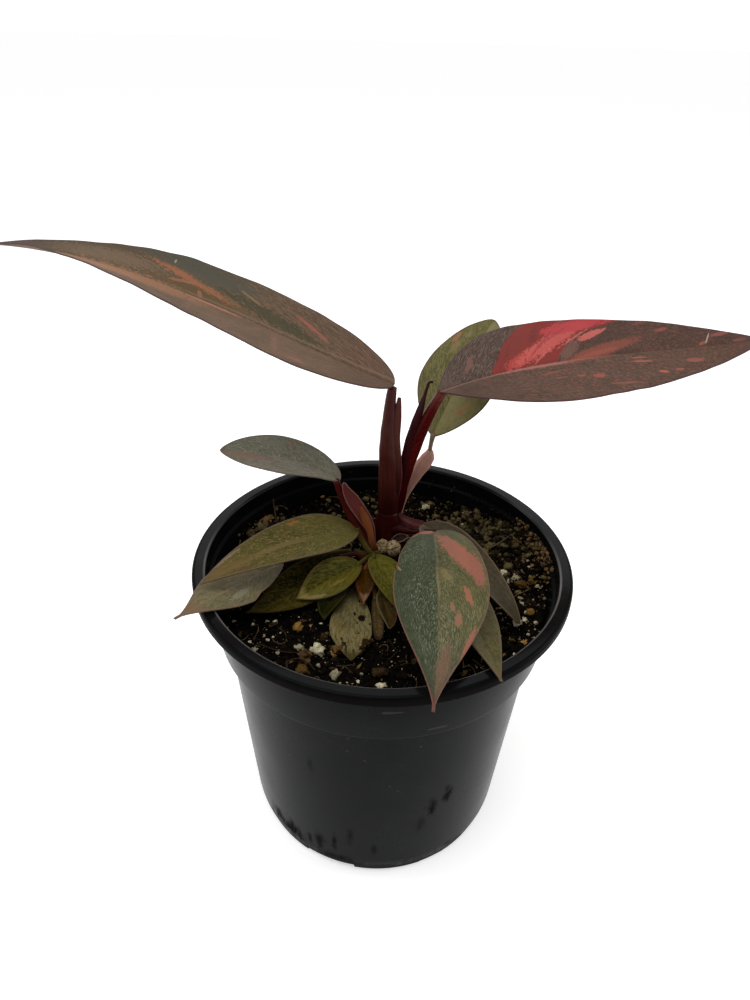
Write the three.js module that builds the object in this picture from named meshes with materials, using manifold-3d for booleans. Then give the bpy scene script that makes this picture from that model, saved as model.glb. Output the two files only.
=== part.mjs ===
import * as THREE from 'three';
import Module from 'manifold-3d';

const wasm = await Module();
wasm.setup();

// Units are millimetres, +Z is up, the origin is the middle of the pot's underside.
// The front of the pot is towards -Y.

// Pot
const RIM_RADIUS = 54;
const RIM_TOP = 94.5;
const RIM_DROP = 3;
const RIM_ROUND = 0.7;
const RIM_BORE = 50.2;
const LIP_SKIN = 1.1;
const COLLAR_TOP_RADIUS = 50.3;
const COLLAR_FOOT_RADIUS = 48.2;
const COLLAR_FOOT = 73.1;
const BODY_TOP_RADIUS = 45.8;
const BODY_LOW_RADIUS = 40.8;
const BODY_LOW = 5.4;
const BASE_RADIUS = 39.2;
const WALL = 1.1;
const INNER_LEDGE = 89.4;
const INNER_LEDGE_STEP = 0.9;
const FLOOR = 1.3;
const CORNER = 0.8;
const CHAMFER = 0.6;
const SLOPE = 0.4;
const TAPER = 0.3;
const CUT_PAST = 2;
const POT_SEGMENTS = 48;

// Raised drain channels and small notches under the pot
const CHANNEL_COUNT = 4;
const CHANNEL_FIRST = -109.5;
const CHANNEL_WIDTH = 16;
const CHANNEL_HEIGHT = 2.6;
const CHANNEL_START = 22;
const NOTCH_OFFSET = 47;
const NOTCH_WIDTH = 7;
const NOTCH_HEIGHT = 1;
const NOTCH_START = 37.2;
const DRAIN_START = 29;
const DRAIN_LENGTH = 6;
const DRAIN_WIDTH = 7;

// Soil
const SOIL_LEVEL = 81.6;
const SOIL_GAP = 0.3;
const SOIL_SEGMENTS = 40;
const SOIL_RINGS = 9;
const SOIL_EDGE = 0.35;
const SOIL_ROUGHNESS = 0.6;
const EDGE_CALM = 0.4;
const MOUND = { x: 0, y: 12, spread: 11, rise: 2.6 };
const COLLAR = { x: 1, y: 12, spread: 4.5, rise: 1.3 };
const BANK = { x: 38, y: 22, spread: 9, rise: 3.2 };
const LUMP_COUNT = 38;
const LUMP_SMALL = 1.1;
const LUMP_LARGE = 2.3;
const LUMP_REACH = 44;
const LUMP_SEED = 7;
const LUMP_SINK = 0.15;
const LUMP_UNEVEN = 0.15;

// Plant
const BLADE_THICKNESS = 0.7;
const FIT_GAP = 0.32;
const TIP_HALF_WIDTH = 0.35;
const BASE_HALF_WIDTH = 0.7;
const ROW_EASING = 0.55;
const FINE_STEPS = 8;
const RIPPLES = 5;
const RIPPLE_SHIFT = 1.9;

const COLOURS = {
  pot: '#232425',
  soil: '#1a110c',
  stem: '#2b090a',
  petioleBrown: '#4a1c18',
  petioleRed: '#3f0d14',
  sheathPink: '#7a5547',
  petiolePale: '#8a7a5c',
  bladeUpperLeft: '#6e5d4c',
  bladeUpperRight: '#6a4b40',
  bladeBack: '#6b6745',
  bladeSide: '#66645a',
  petioleSide: '#42171a',
  amber: '#6e3a14',
  bladeOlive: '#5c5430',
  petioleOlive: '#6a5a20',
  bladeRim: '#6f6650',
  darkOlive: '#38311a',
  leafGreen: '#4f4c1c',
  deepGreen: '#33381a',
  faded: '#77694a',
  rust: '#5a340f',
  centreGreen: '#58541f',
  bladeFront: '#4f5540',
  petioleFront: '#3a120e',
  brownOlive: '#4b4433',
  petioleRight: '#5d3833',
  stripedOlive: '#645b3a',
  dried: '#5c462a',
  greyGreen: '#45412f',
  drySkin: '#6d5c4c',
  perlite: '#d9cfb4',
};

const rad = (degrees) => (degrees * Math.PI) / 180;
const lerp = (a, b, t) => a + (b - a) * t;

function seededRandom(seed) {
  let state = seed >>> 0;
  return () => {
    state = (state + 0x6d2b79f5) >>> 0;
    let value = Math.imul(state ^ (state >>> 15), 1 | state);
    value = (value + Math.imul(value ^ (value >>> 7), 61 | value)) ^ value;
    return ((value ^ (value >>> 14)) >>> 0) / 4294967296;
  };
}

function solid(points, faces) {
  const vertProperties = new Float32Array(points.flat());
  const triVerts = new Uint32Array(faces.flat());
  return new wasm.Manifold(new wasm.Mesh({ numProp: 3, vertProperties, triVerts }));
}

function largest(shape) {
  const pieces = shape.decompose();
  return pieces.reduce((best, piece) => (piece.volume() > best.volume() ? piece : best));
}

function meshOf(shape, name, colour, roughness, metalness = 0) {
  const source = shape.getMesh();
  const geometry = new THREE.BufferGeometry();
  geometry.setAttribute('position', new THREE.BufferAttribute(source.vertProperties, 3));
  geometry.setIndex(new THREE.BufferAttribute(source.triVerts, 1));
  geometry.computeVertexNormals();
  const material = new THREE.MeshStandardMaterial({ color: colour, roughness, metalness });
  const mesh = new THREE.Mesh(geometry, material);
  mesh.name = name;
  return mesh;
}

// Solid of revolution about Z from a profile of [radius, height] that starts and ends on the axis
function turned(profile, segments) {
  const points = [];
  const faces = [];
  const rings = profile.map(([radius, height]) => {
    if (radius === 0) {
      points.push([0, 0, height]);
      return [points.length - 1];
    }
    const ring = [];
    for (let k = 0; k < segments; k += 1) {
      const angle = (2 * Math.PI * k) / segments;
      points.push([radius * Math.cos(angle), radius * Math.sin(angle), height]);
      ring.push(points.length - 1);
    }
    return ring;
  });
  for (let r = 0; r + 1 < rings.length; r += 1) {
    const a = rings[r];
    const b = rings[r + 1];
    for (let k = 0; k < segments; k += 1) {
      const n = (k + 1) % segments;
      if (a.length > 1) faces.push([a[k], a[n], b[b.length > 1 ? n : 0]]);
      if (b.length > 1) faces.push([a[a.length > 1 ? k : 0], b[n], b[k]]);
    }
  }
  return solid(points, faces);
}

// Straight block that runs outwards from the axis at a given angle
function radialBlock(start, end, width, low, high, angle) {
  const shape = new THREE.BoxGeometry(end - start, width, high - low);
  shape.translate((start + end) / 2, 0, (low + high) / 2);
  shape.rotateZ(rad(angle));
  const position = shape.getAttribute('position');
  const corners = [];
  const lookup = new Map();
  const remap = [];
  for (let i = 0; i < position.count; i += 1) {
    const point = [position.getX(i), position.getY(i), position.getZ(i)];
    const key = point.map((v) => v.toFixed(4)).join();
    if (!lookup.has(key)) {
      lookup.set(key, corners.length);
      corners.push(point);
    }
    remap.push(lookup.get(key));
  }
  const index = shape.getIndex();
  const faces = [];
  for (let i = 0; i < index.count; i += 3) {
    faces.push([remap[index.getX(i)], remap[index.getX(i + 1)], remap[index.getX(i + 2)]]);
  }
  return solid(corners, faces);
}

function channelBlocks(extra) {
  const blocks = [];
  for (let k = 0; k < CHANNEL_COUNT; k += 1) {
    const angle = CHANNEL_FIRST + (k * 360) / CHANNEL_COUNT;
    blocks.push(
      radialBlock(
        CHANNEL_START - extra,
        RIM_RADIUS,
        CHANNEL_WIDTH + 2 * extra,
        -CUT_PAST,
        CHANNEL_HEIGHT + extra,
        angle,
      ),
    );
  }
  return wasm.Manifold.union(blocks);
}

// Inside of the pot from the floor's middle up to the ledge ring, drawn in by `inset`
function potBore(inset) {
  const ledgeRadius = RIM_BORE - TAPER - inset;
  const stepHeight = COLLAR_FOOT + WALL + inset;
  return [
    [0, FLOOR + inset],
    [BASE_RADIUS - WALL - CORNER - inset, FLOOR + inset],
    [BODY_LOW_RADIUS - WALL - inset, BODY_LOW],
    [BODY_TOP_RADIUS - WALL - inset, stepHeight],
    [COLLAR_FOOT_RADIUS - WALL - inset, stepHeight + SLOPE],
    [ledgeRadius - INNER_LEDGE_STEP, INNER_LEDGE],
    [ledgeRadius, INNER_LEDGE + TAPER],
  ];
}

function buildPot() {
  const lipLow = RIM_TOP - RIM_DROP;
  const underLip = RIM_TOP - LIP_SKIN;
  const boreTop = RIM_TOP - CHAMFER;
  const outer = turned(
    [
      [0, 0],
      [BASE_RADIUS - CHAMFER, 0],
      [BASE_RADIUS, CHAMFER],
      [BODY_LOW_RADIUS, BODY_LOW],
      [BODY_TOP_RADIUS, COLLAR_FOOT - SLOPE],
      [COLLAR_FOOT_RADIUS, COLLAR_FOOT],
      [COLLAR_TOP_RADIUS, lipLow],
      [COLLAR_TOP_RADIUS, underLip],
      [RIM_RADIUS - LIP_SKIN, underLip - SLOPE],
      [RIM_RADIUS - LIP_SKIN, lipLow],
      [RIM_RADIUS, lipLow],
      [RIM_RADIUS, RIM_TOP - RIM_ROUND],
      [RIM_RADIUS - TAPER * RIM_ROUND, RIM_TOP - TAPER * RIM_ROUND],
      [RIM_RADIUS - RIM_ROUND, RIM_TOP],
      [RIM_BORE + CHAMFER, RIM_TOP],
      [RIM_BORE, boreTop],
      [0, boreTop],
    ],
    POT_SEGMENTS,
  );
  const bore = turned(
    [...potBore(0), [RIM_BORE, boreTop], [RIM_BORE, RIM_TOP + CUT_PAST], [0, RIM_TOP + CUT_PAST]],
    POT_SEGMENTS,
  ).subtract(channelBlocks(WALL));
  const notches = [];
  const drains = [];
  for (let k = 0; k < CHANNEL_COUNT; k += 1) {
    const angle = CHANNEL_FIRST + (k * 360) / CHANNEL_COUNT;
    const notchAngle = angle + NOTCH_OFFSET;
    notches.push(
      radialBlock(NOTCH_START, RIM_RADIUS, NOTCH_WIDTH, -CUT_PAST, NOTCH_HEIGHT, notchAngle),
    );
    const drainEnd = DRAIN_START + DRAIN_LENGTH;
    drains.push(
      radialBlock(DRAIN_START, drainEnd, DRAIN_WIDTH, 0, CHANNEL_HEIGHT + CUT_PAST, angle),
    );
  }
  return outer
    .subtract(channelBlocks(0))
    .subtract(bore)
    .subtract(wasm.Manifold.union([...notches, ...drains]));
}

function soilHeight(x, y) {
  const bump = ({ x: cx, y: cy, spread, rise }) =>
    rise * Math.exp(-((x - cx) ** 2 + (y - cy) ** 2) / (2 * spread * spread));
  return SOIL_LEVEL + bump(MOUND) + bump(COLLAR) + bump(BANK);
}

// Faceted pebble with its corners drawn in and out at random
function pebble(centre, radius, detail, uneven, random) {
  const shape = new THREE.IcosahedronGeometry(1, detail);
  const position = shape.getAttribute('position');
  const lookup = new Map();
  const corners = [];
  const remap = [];
  for (let i = 0; i < position.count; i += 1) {
    const raw = [position.getX(i), position.getY(i), position.getZ(i)];
    const key = raw.map((v) => v.toFixed(4)).join();
    if (!lookup.has(key)) {
      lookup.set(key, corners.length);
      const swell = 1 + uneven * (2 * random() - 1);
      corners.push(raw.map((v, axis) => centre[axis] + v * swell * radius[axis]));
    }
    remap.push(lookup.get(key));
  }
  const faces = [];
  for (let i = 0; i < remap.length; i += 3) faces.push([remap[i], remap[i + 1], remap[i + 2]]);
  return solid(corners, faces);
}

function buildSoil() {
  const random = seededRandom(LUMP_SEED);
  const edge = potBore(SOIL_GAP);
  const topRadius = lerp(edge[4][0], edge[5][0], SOIL_EDGE);
  const points = [];
  const faces = [];
  points.push([0, 0, soilHeight(0, 0)]);
  const ring = (radius, heightAt) => {
    const list = [];
    for (let k = 0; k < SOIL_SEGMENTS; k += 1) {
      const angle = (2 * Math.PI * k) / SOIL_SEGMENTS;
      const x = radius * Math.cos(angle);
      const y = radius * Math.sin(angle);
      points.push([x, y, heightAt(x, y)]);
      list.push(points.length - 1);
    }
    return list;
  };
  const rings = [];
  for (let r = 1; r <= SOIL_RINGS; r += 1) {
    const radius = (topRadius * r) / SOIL_RINGS;
    const calm = r === SOIL_RINGS ? EDGE_CALM : 1;
    const rough = () => (random() - 0.5) * 2 * SOIL_ROUGHNESS * calm;
    rings.push(ring(radius, (x, y) => soilHeight(x, y) + rough()));
  }
  [4, 3, 2, 1].forEach((i) => rings.push(ring(edge[i][0], () => edge[i][1])));
  for (let k = 0; k < SOIL_SEGMENTS; k += 1) {
    faces.push([0, rings[0][k], rings[0][(k + 1) % SOIL_SEGMENTS]]);
  }
  for (let r = 0; r + 1 < rings.length; r += 1) {
    for (let k = 0; k < SOIL_SEGMENTS; k += 1) {
      const n = (k + 1) % SOIL_SEGMENTS;
      faces.push([rings[r][k], rings[r + 1][k], rings[r + 1][n]]);
      faces.push([rings[r][k], rings[r + 1][n], rings[r][n]]);
    }
  }
  points.push([0, 0, edge[0][1]]);
  const last = rings[rings.length - 1];
  for (let k = 0; k < SOIL_SEGMENTS; k += 1) {
    faces.push([points.length - 1, last[(k + 1) % SOIL_SEGMENTS], last[k]]);
  }
  const lumps = [];
  for (let k = 0; k < LUMP_COUNT; k += 1) {
    const radius = LUMP_REACH * Math.sqrt(random());
    const angle = 2 * Math.PI * random();
    const size = lerp(LUMP_SMALL, LUMP_LARGE, random() ** 2);
    const x = radius * Math.cos(angle);
    const y = radius * Math.sin(angle);
    const stretch = () => size * lerp(0.8, 1.3, random());
    const middle = [x, y, soilHeight(x, y) + size * LUMP_SINK];
    lumps.push(pebble(middle, [stretch(), stretch(), size * 0.8], 0, LUMP_UNEVEN, random));
  }
  return solid(points, faces)
    .add(wasm.Manifold.union(lumps))
    .subtract(channelBlocks(WALL + SOIL_GAP));
}

// Leaf blade: the midrib starts at `at`, heads `heading` degrees round from +X and climbs at
// `climb` degrees; `arch` and `swing` are the changes of climb and heading along the leaf.
function midrib(leaf, steps, extra) {
  const rows = [];
  let [x, y, z] = leaf.at;
  const turn = (t) => rad(leaf.heading + leaf.swing[0] * t + leaf.swing[1] * t * t);
  const lift = (t) => rad(leaf.climb + leaf.arch[0] * t + leaf.arch[1] * t * t);
  for (let i = 0; i <= steps; i += 1) {
    const t = i / steps;
    const heading = turn(t);
    const climb = lift(t);
    const along = new THREE.Vector3(
      Math.cos(climb) * Math.cos(heading),
      Math.cos(climb) * Math.sin(heading),
      Math.sin(climb),
    );
    const level = new THREE.Vector3(Math.sin(heading), -Math.cos(heading), 0);
    const upright = new THREE.Vector3().crossVectors(level, along);
    const roll = rad(leaf.roll[0] + leaf.roll[1] * t);
    const side = level.clone().multiplyScalar(Math.cos(roll));
    side.addScaledVector(upright, Math.sin(roll));
    const up = upright.clone().multiplyScalar(Math.cos(roll));
    up.addScaledVector(level, -Math.sin(roll));
    const point = new THREE.Vector3(x, y, z);
    if (i === 0) point.addScaledVector(along, -extra);
    if (i === steps) point.addScaledVector(along, extra);
    rows.push({ t, point, side, up });
    const half = t + 0.5 / steps;
    const stride = leaf.length / steps;
    x += stride * Math.cos(lift(half)) * Math.cos(turn(half));
    y += stride * Math.cos(lift(half)) * Math.sin(turn(half));
    z += stride * Math.sin(lift(half));
  }
  return rows;
}

function halfWidth(leaf, t, extra) {
  const toBase = Math.sin((Math.PI / 2) * Math.min(1, t / leaf.widest)) ** leaf.blunt;
  const beyond = Math.max(0, (t - leaf.widest) / (1 - leaf.widest));
  const toTip = Math.max(0, Math.cos((Math.PI / 2) * beyond)) ** leaf.point;
  const shape = t < leaf.widest ? toBase : toTip;
  const least = t < leaf.widest ? BASE_HALF_WIDTH : TIP_HALF_WIDTH;
  return Math.max(least, leaf.half * shape) + extra;
}

function bladePoint(leaf, row, across, extra) {
  const width = halfWidth(leaf, row.t, extra) * (1 + leaf.skew * Math.sign(across));
  const reach = Math.abs(across);
  const out = across * Math.cos(rad(leaf.fold)) * width;
  let rise = (reach * Math.sin(rad(leaf.fold)) + leaf.cup * across * across) * width;
  const wave = leaf.wave || 0;
  const ripple = Math.sin(row.t * Math.PI * RIPPLES + (across > 0 ? 0 : RIPPLE_SHIFT));
  rise += wave * ripple * reach ** 2 * Math.sin(Math.PI * row.t);
  return row.point.clone().addScaledVector(row.side, out).addScaledVector(row.up, rise);
}

function bladeSolid(leaf, extra = 0) {
  const rows = leaf.rows || 14;
  const cols = leaf.cols || 6;
  const line = midrib(leaf, rows * FINE_STEPS, extra);
  const picked = [];
  for (let i = 0; i <= rows; i += 1) {
    const t = i / rows;
    const eased = lerp(t, (1 - Math.cos(Math.PI * t)) / 2, ROW_EASING);
    picked.push(line[Math.round(eased * rows * FINE_STEPS)]);
  }
  const middle = picked.map((row) => {
    const list = [];
    for (let j = 0; j <= cols; j += 1) list.push(bladePoint(leaf, row, -1 + (2 * j) / cols, extra));
    return list;
  });
  const points = [];
  const id = (i, j, face) => (i * (cols + 1) + j) * 2 + face;
  const half = BLADE_THICKNESS / 2 + extra;
  for (let i = 0; i <= rows; i += 1) {
    for (let j = 0; j <= cols; j += 1) {
      const ahead = middle[Math.min(rows, i + 1)][j].clone();
      ahead.sub(middle[Math.max(0, i - 1)][j]);
      const across = middle[i][Math.min(cols, j + 1)].clone();
      across.sub(middle[i][Math.max(0, j - 1)]);
      const normal = new THREE.Vector3().crossVectors(across, ahead).normalize();
      if (normal.dot(picked[i].up) < 0) normal.negate();
      points.push(middle[i][j].clone().addScaledVector(normal, half).toArray());
      points.push(middle[i][j].clone().addScaledVector(normal, -half).toArray());
    }
  }
  const faces = [];
  const quad = (a, b, c, d) => faces.push([a, b, c], [a, c, d]);
  for (let i = 0; i < rows; i += 1) {
    for (let j = 0; j < cols; j += 1) {
      quad(id(i, j, 0), id(i, j + 1, 0), id(i + 1, j + 1, 0), id(i + 1, j, 0));
      faces.push([id(i, j, 1), id(i + 1, j + 1, 1), id(i, j + 1, 1)]);
      faces.push([id(i, j, 1), id(i + 1, j, 1), id(i + 1, j + 1, 1)]);
    }
    quad(id(i, 0, 0), id(i + 1, 0, 0), id(i + 1, 0, 1), id(i, 0, 1));
    quad(id(i, cols, 0), id(i, cols, 1), id(i + 1, cols, 1), id(i + 1, cols, 0));
  }
  for (let j = 0; j < cols; j += 1) {
    quad(id(0, j, 0), id(0, j, 1), id(0, j + 1, 1), id(0, j + 1, 0));
    quad(id(rows, j, 0), id(rows, j + 1, 0), id(rows, j + 1, 1), id(rows, j, 1));
  }
  return solid(points, faces);
}

// Stalk: a rounded section swept along knots of [x, y, z, width, depth]; the width lies along
// `facing` and the section can be widened by `extra` all round.
function stalkSolid(stalk, extra = 0) {
  const sides = stalk.sides || 10;
  const steps = stalk.steps || 12;
  const knots = stalk.knots.map(([x, y, z]) => new THREE.Vector3(x, y, z));
  const curve = new THREE.CatmullRomCurve3(knots, false, 'centripetal');
  const facing = new THREE.Vector3(...(stalk.facing || [1, 0, 0]));
  const points = [];
  const faces = [];
  const last = knots.length - 1;
  for (let i = 0; i <= steps; i += 1) {
    const t = i / steps;
    const knot = Math.min(last - 1, Math.floor(t * last));
    const blend = t * last - knot;
    const width = lerp(stalk.knots[knot][3], stalk.knots[knot + 1][3], blend) / 2 + extra;
    const depth = lerp(stalk.knots[knot][4], stalk.knots[knot + 1][4], blend) / 2 + extra;
    const centre = curve.getPoint(t);
    const along = curve.getTangent(t);
    if (i === 0) centre.addScaledVector(along, -extra);
    if (i === steps) centre.addScaledVector(along, extra);
    const wide = facing.clone().addScaledVector(along, -facing.dot(along)).normalize();
    const deep = new THREE.Vector3().crossVectors(along, wide);
    for (let k = 0; k < sides; k += 1) {
      const angle = (2 * Math.PI * k) / sides;
      const point = centre.clone();
      point.addScaledVector(wide, width * Math.cos(angle));
      point.addScaledVector(deep, depth * Math.sin(angle));
      points.push(point.toArray());
    }
  }
  for (let i = 0; i < steps; i += 1) {
    for (let k = 0; k < sides; k += 1) {
      const n = (k + 1) % sides;
      const a = i * sides;
      const b = a + sides;
      faces.push([a + k, a + n, b + n], [a + k, b + n, b + k]);
    }
  }
  for (let k = 1; k + 1 < sides; k += 1) {
    const top = steps * sides;
    faces.push([0, k + 1, k], [top, top + k, top + k + 1]);
  }
  return solid(points, faces);
}

const leaf = (at, heading, climb, length, half, options) => ({
  at,
  heading,
  climb,
  length,
  half,
  arch: [0, 0],
  swing: [0, 0],
  roll: [0, 0],
  fold: 9,
  cup: 0,
  widest: 0.42,
  blunt: 0.6,
  point: 1,
  skew: 0,
  ...options,
});

const UPPER_LEFT = leaf([1.4, 16.1, 140.2], 167.4, 16, 123.2, 16, {
  arch: [20.8, -40.3],
  swing: [-3.1, 5.9],
  roll: [7.3, -17.3],
  fold: 9.9,
  cup: 0.01,
  widest: 0.31,
  blunt: 0.51,
  point: 1.06,
  skew: -0.03,
  rows: 22,
  cols: 6,
});

const UPPER_RIGHT = leaf([13.7, 13.7, 139.9], 28, 9.4, 105, 20.1, {
  arch: [-35.3, 33.1],
  swing: [-15.8, -4.2],
  roll: [-5.1, -12.4],
  fold: 5.8,
  cup: -0.02,
  widest: 0.3,
  blunt: 0.79,
  point: 0.82,
  skew: 0.01,
  rows: 20,
  cols: 6,
});

const BACK_GREEN = leaf([13.4, 24, 120.4], 55.4, 48.2, 43.3, 11.6, {
  arch: [-23.8, 2],
  swing: [5, -0.2],
  roll: [-11.5, 2.6],
  fold: 8.6,
  widest: 0.41,
  blunt: 0.77,
  point: 0.69,
  skew: -0.01,
  rows: 16,
});

const SIDE_LEFT = leaf([-13.6, 15.9, 109], 149.9, 8.7, 39.9, 8.2, {
  arch: [-11.9, 1.3],
  swing: [21.1, 7.1],
  roll: [-3.8, 30.3],
  fold: 10.7,
  cup: 0.02,
  widest: 0.44,
  blunt: 0.53,
  point: 0.68,
  skew: 0.01,
  rows: 14,
  cols: 4,
});

const LEFT_OLIVE = leaf([-7.7, 13.4, 92.9], 214.1, 15.8, 53.5, 7.4, {
  arch: [-25.2, 8.8],
  swing: [9.9, 5.4],
  roll: [25.1, -15.5],
  fold: 11.8,
  cup: 0.03,
  widest: 0.31,
  blunt: 0.62,
  point: 0.87,
  skew: 0.03,
  rows: 14,
  cols: 4,
});

const OVER_RIM = leaf([-30, 4.8, 86.7], 241.9, 14.3, 46.7, 7.9, {
  arch: [5.3, -5.2],
  swing: [-0.3, 1.6],
  roll: [9.9, 2.7],
  fold: 4.3,
  cup: -0.04,
  widest: 0.47,
  blunt: 0.7,
  point: 1.6,
  rows: 14,
  cols: 4,
});

const DARK_OLIVE = leaf([-11.4, 7.8, 87.6], 230.2, -6.9, 36.4, 7.1, {
  arch: [-4.1, 19.4],
  swing: [-5.9, -7.3],
  roll: [11.1, 8.2],
  fold: 9,
  point: 1.09,
  rows: 12,
  cols: 4,
});

const SMALL_GREEN = leaf([-6.4, 0.6, 90.2], 212.5, -6, 21.6, 5.8, {
  arch: [-20.7, 18.3],
  swing: [6.4, -3.2],
  roll: [7.5, 27.5],
  fold: 12.4,
  cup: 0.03,
  blunt: 0.51,
  point: 0.9,
  rows: 12,
  cols: 4,
});

const TINY_GREEN = leaf([-10.3, -2.3, 83.5], 236.3, 15.6, 16.9, 3.9, {
  arch: [-20.2, -2.7],
  swing: [25.5, 7.8],
  roll: [-14.3, -0.8],
  fold: 10.2,
  cup: 0.02,
  widest: 0.46,
  point: 0.9,
  rows: 10,
  cols: 4,
});

const FADED = leaf([-7.3, -1.1, 83.3], 262.7, -5.3, 30.6, 6, {
  arch: [4.8, 9.4],
  swing: [16.9, -3.1],
  roll: [7.3, 0.9],
  fold: 7.6,
  cup: -0.01,
  widest: 0.59,
  blunt: 0.77,
  point: 0.9,
  wave: 0.35,
  rows: 12,
  cols: 4,
});

const RUST = leaf([-4.9, 2.3, 87.8], 269.2, -1.9, 13.7, 3, {
  arch: [-26.6, 1.4],
  swing: [1.2, -0.8],
  roll: [3.4, 4.5],
  fold: 17.2,
  widest: 0.4,
  blunt: 0.49,
  point: 1.08,
  rows: 10,
  cols: 4,
});

const CENTRE_GREEN = leaf([-3, 4.5, 90.4], 302, 0.6, 23.5, 5, {
  arch: [-21.4, -2.8],
  swing: [-13.9, -4.4],
  roll: [-0.8, 1.7],
  fold: 9.4,
  cup: 0.01,
  blunt: 0.53,
  point: 0.96,
  rows: 12,
  cols: 4,
});

const FRONT = leaf([14.9, 7.4, 98], 271, 11.9, 67, 12.5, {
  arch: [-31.9, 8.4],
  swing: [-5.1, -1.8],
  roll: [-5.6, 6.1],
  fold: 7.4,
  cup: -0.01,
  widest: 0.45,
  blunt: 0.41,
  point: 1.45,
  skew: -0.05,
  rows: 18,
  cols: 6,
});

const RIGHT_BROWN = leaf([11.8, 13, 96.3], 312.9, 1.7, 42.2, 6.7, {
  arch: [-37.5, 5.7],
  swing: [-0.6, -3.9],
  roll: [-4.5, 22.5],
  fold: 10.5,
  cup: 0.02,
  widest: 0.29,
  blunt: 0.46,
  point: 0.59,
  rows: 14,
  cols: 4,
});

const FRONT_RIGHT = leaf([16.9, 3.4, 90.5], 284.4, 8, 53.9, 7.3, {
  arch: [-8.1, 6.2],
  swing: [-1.3, -3],
  roll: [10.3, 5.1],
  fold: 7.6,
  cup: -0.01,
  point: 1.09,
  rows: 14,
  cols: 4,
});

const DRIED_STRIP = leaf([-1.8, -7.5, 85.1], 279.4, -8, 16.7, 1.7, {
  arch: [4.3, 4.4],
  swing: [-6.8, -2.4],
  fold: 8.6,
  widest: 0.52,
  blunt: 0.42,
  point: 0.28,
  rows: 8,
  cols: 4,
});

const SMALL_GREY = leaf([-0.4, -7.4, 86.7], 285.9, -2.4, 15.5, 3.2, {
  arch: [3.4, 2.6],
  swing: [-7, -4.8],
  roll: [24.9, 12.5],
  fold: 8.9,
  widest: 0.51,
  point: 0.77,
  rows: 10,
  cols: 4,
});

const STEM = {
  knots: [
    [0.8, 17, 77, 6.4, 6],
    [0.8, 17, 84, 7.4, 6.6],
    [0.7, 17, 90, 8.2, 7],
    [0.8, 17, 94.4, 7.4, 6.2],
    [1, 17, 97.6, 6, 4.8],
  ],
  steps: 8,
  sides: 14,
};

const SIDE_SHOOT = {
  knots: [
    [-1.7, 9.8, 78, 4.4, 4.2],
    [-1.7, 9.8, 83, 4.6, 4.4],
    [-1.9, 9.9, 86.4, 4.2, 4],
    [-2.2, 10, 88.2, 2.6, 2.4],
  ],
  steps: 5,
  sides: 10,
};

const PETIOLE_UPPER_LEFT = {
  knots: [
    [1, 17, 97.9, 6, 4.6],
    [0.9, 17, 104, 5.9, 4.6],
    [0.6, 16.9, 111, 5.4, 4.3],
    [0.2, 16.6, 118, 4.8, 4],
    [0.1, 16.5, 124.5, 4.2, 3.6],
    [0.3, 16.4, 130.5, 3.5, 3.1],
    [0.6, 16.2, 136, 2.9, 2.7],
    [1, 16, 140.2, 2.6, 2.4],
  ],
  steps: 12,
};

const WING_UPPER_LEFT = {
  knots: [
    [2.6, 16.4, 101, 2.4, 1],
    [3.6, 16.2, 110, 3.2, 1],
    [3.1, 16, 117, 3.4, 1],
    [2.4, 15.9, 123.5, 3.4, 1],
    [2.3, 15.9, 129.5, 3, 1],
    [2.7, 15.9, 133.4, 1.7, 0.9],
    [2.9, 15.9, 136.6, 0.8, 0.8],
  ],
  steps: 10,
  sides: 6,
};

const PETIOLE_UPPER_RIGHT = {
  knots: [
    [1.6, 20, 91.5, 4.2, 3.4],
    [3.9, 21.2, 98.5, 4.3, 3.4],
    [4.7, 21.4, 105.2, 4.4, 3.5],
    [6, 20.8, 111.4, 4.4, 3.6],
    [7.5, 20, 117.4, 4.2, 3.7],
    [9.3, 18.9, 124, 3.7, 3.5],
    [11.2, 17.6, 130, 3.3, 3.1],
    [12.9, 16.2, 135, 2.9, 2.7],
    [14.3, 14.6, 138.9, 2.6, 2.4],
  ],
  steps: 14,
};

const WING_UPPER_RIGHT = {
  knots: [
    [5, 19.6, 107, 1.6, 1.4],
    [5.3, 19.2, 112, 2.4, 1.8],
    [5.9, 18.8, 117.3, 2.8, 2],
    [6.8, 18.4, 122.5, 3, 2],
    [7.9, 17.9, 127.6, 2.8, 1.9],
    [8.8, 17.4, 131.9, 2.2, 1.6],
    [9.4, 17.2, 134.6, 1.6, 1.3],
    [9.9, 17, 137, 1, 1],
    [10.4, 16.8, 139.2, 0.9, 0.9],
    [11, 16.6, 141.2, 0.8, 0.8],
    [11.9, 16.4, 141.4, 0.7, 0.7],
  ],
  steps: 18,
  sides: 6,
};

const SHEATH_BACK = {
  knots: [
    [3.4, 20.3, 88.6, 1.8, 1.6],
    [4.9, 23.2, 94, 1.8, 1.6],
    [6.1, 24.2, 98.6, 2.1, 1.6],
    [7.6, 24.5, 102.6, 2.7, 1.9],
    [9.3, 24.6, 106.6, 3.6, 2.4],
    [11.1, 24.6, 110.2, 4.7, 2.8],
    [12.5, 24.6, 113, 4.2, 2.4],
    [13.1, 24.6, 115.4, 2, 1.6],
  ],
  steps: 12,
  sides: 10,
};

const PETIOLE_BACK = {
  knots: [
    [13, 24.6, 115.8, 1.3, 1.3],
    [13.2, 24.5, 118, 1.3, 1.3],
    [13.5, 24.3, 120.6, 1.7, 1.4],
  ],
  steps: 5,
  sides: 8,
};

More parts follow.
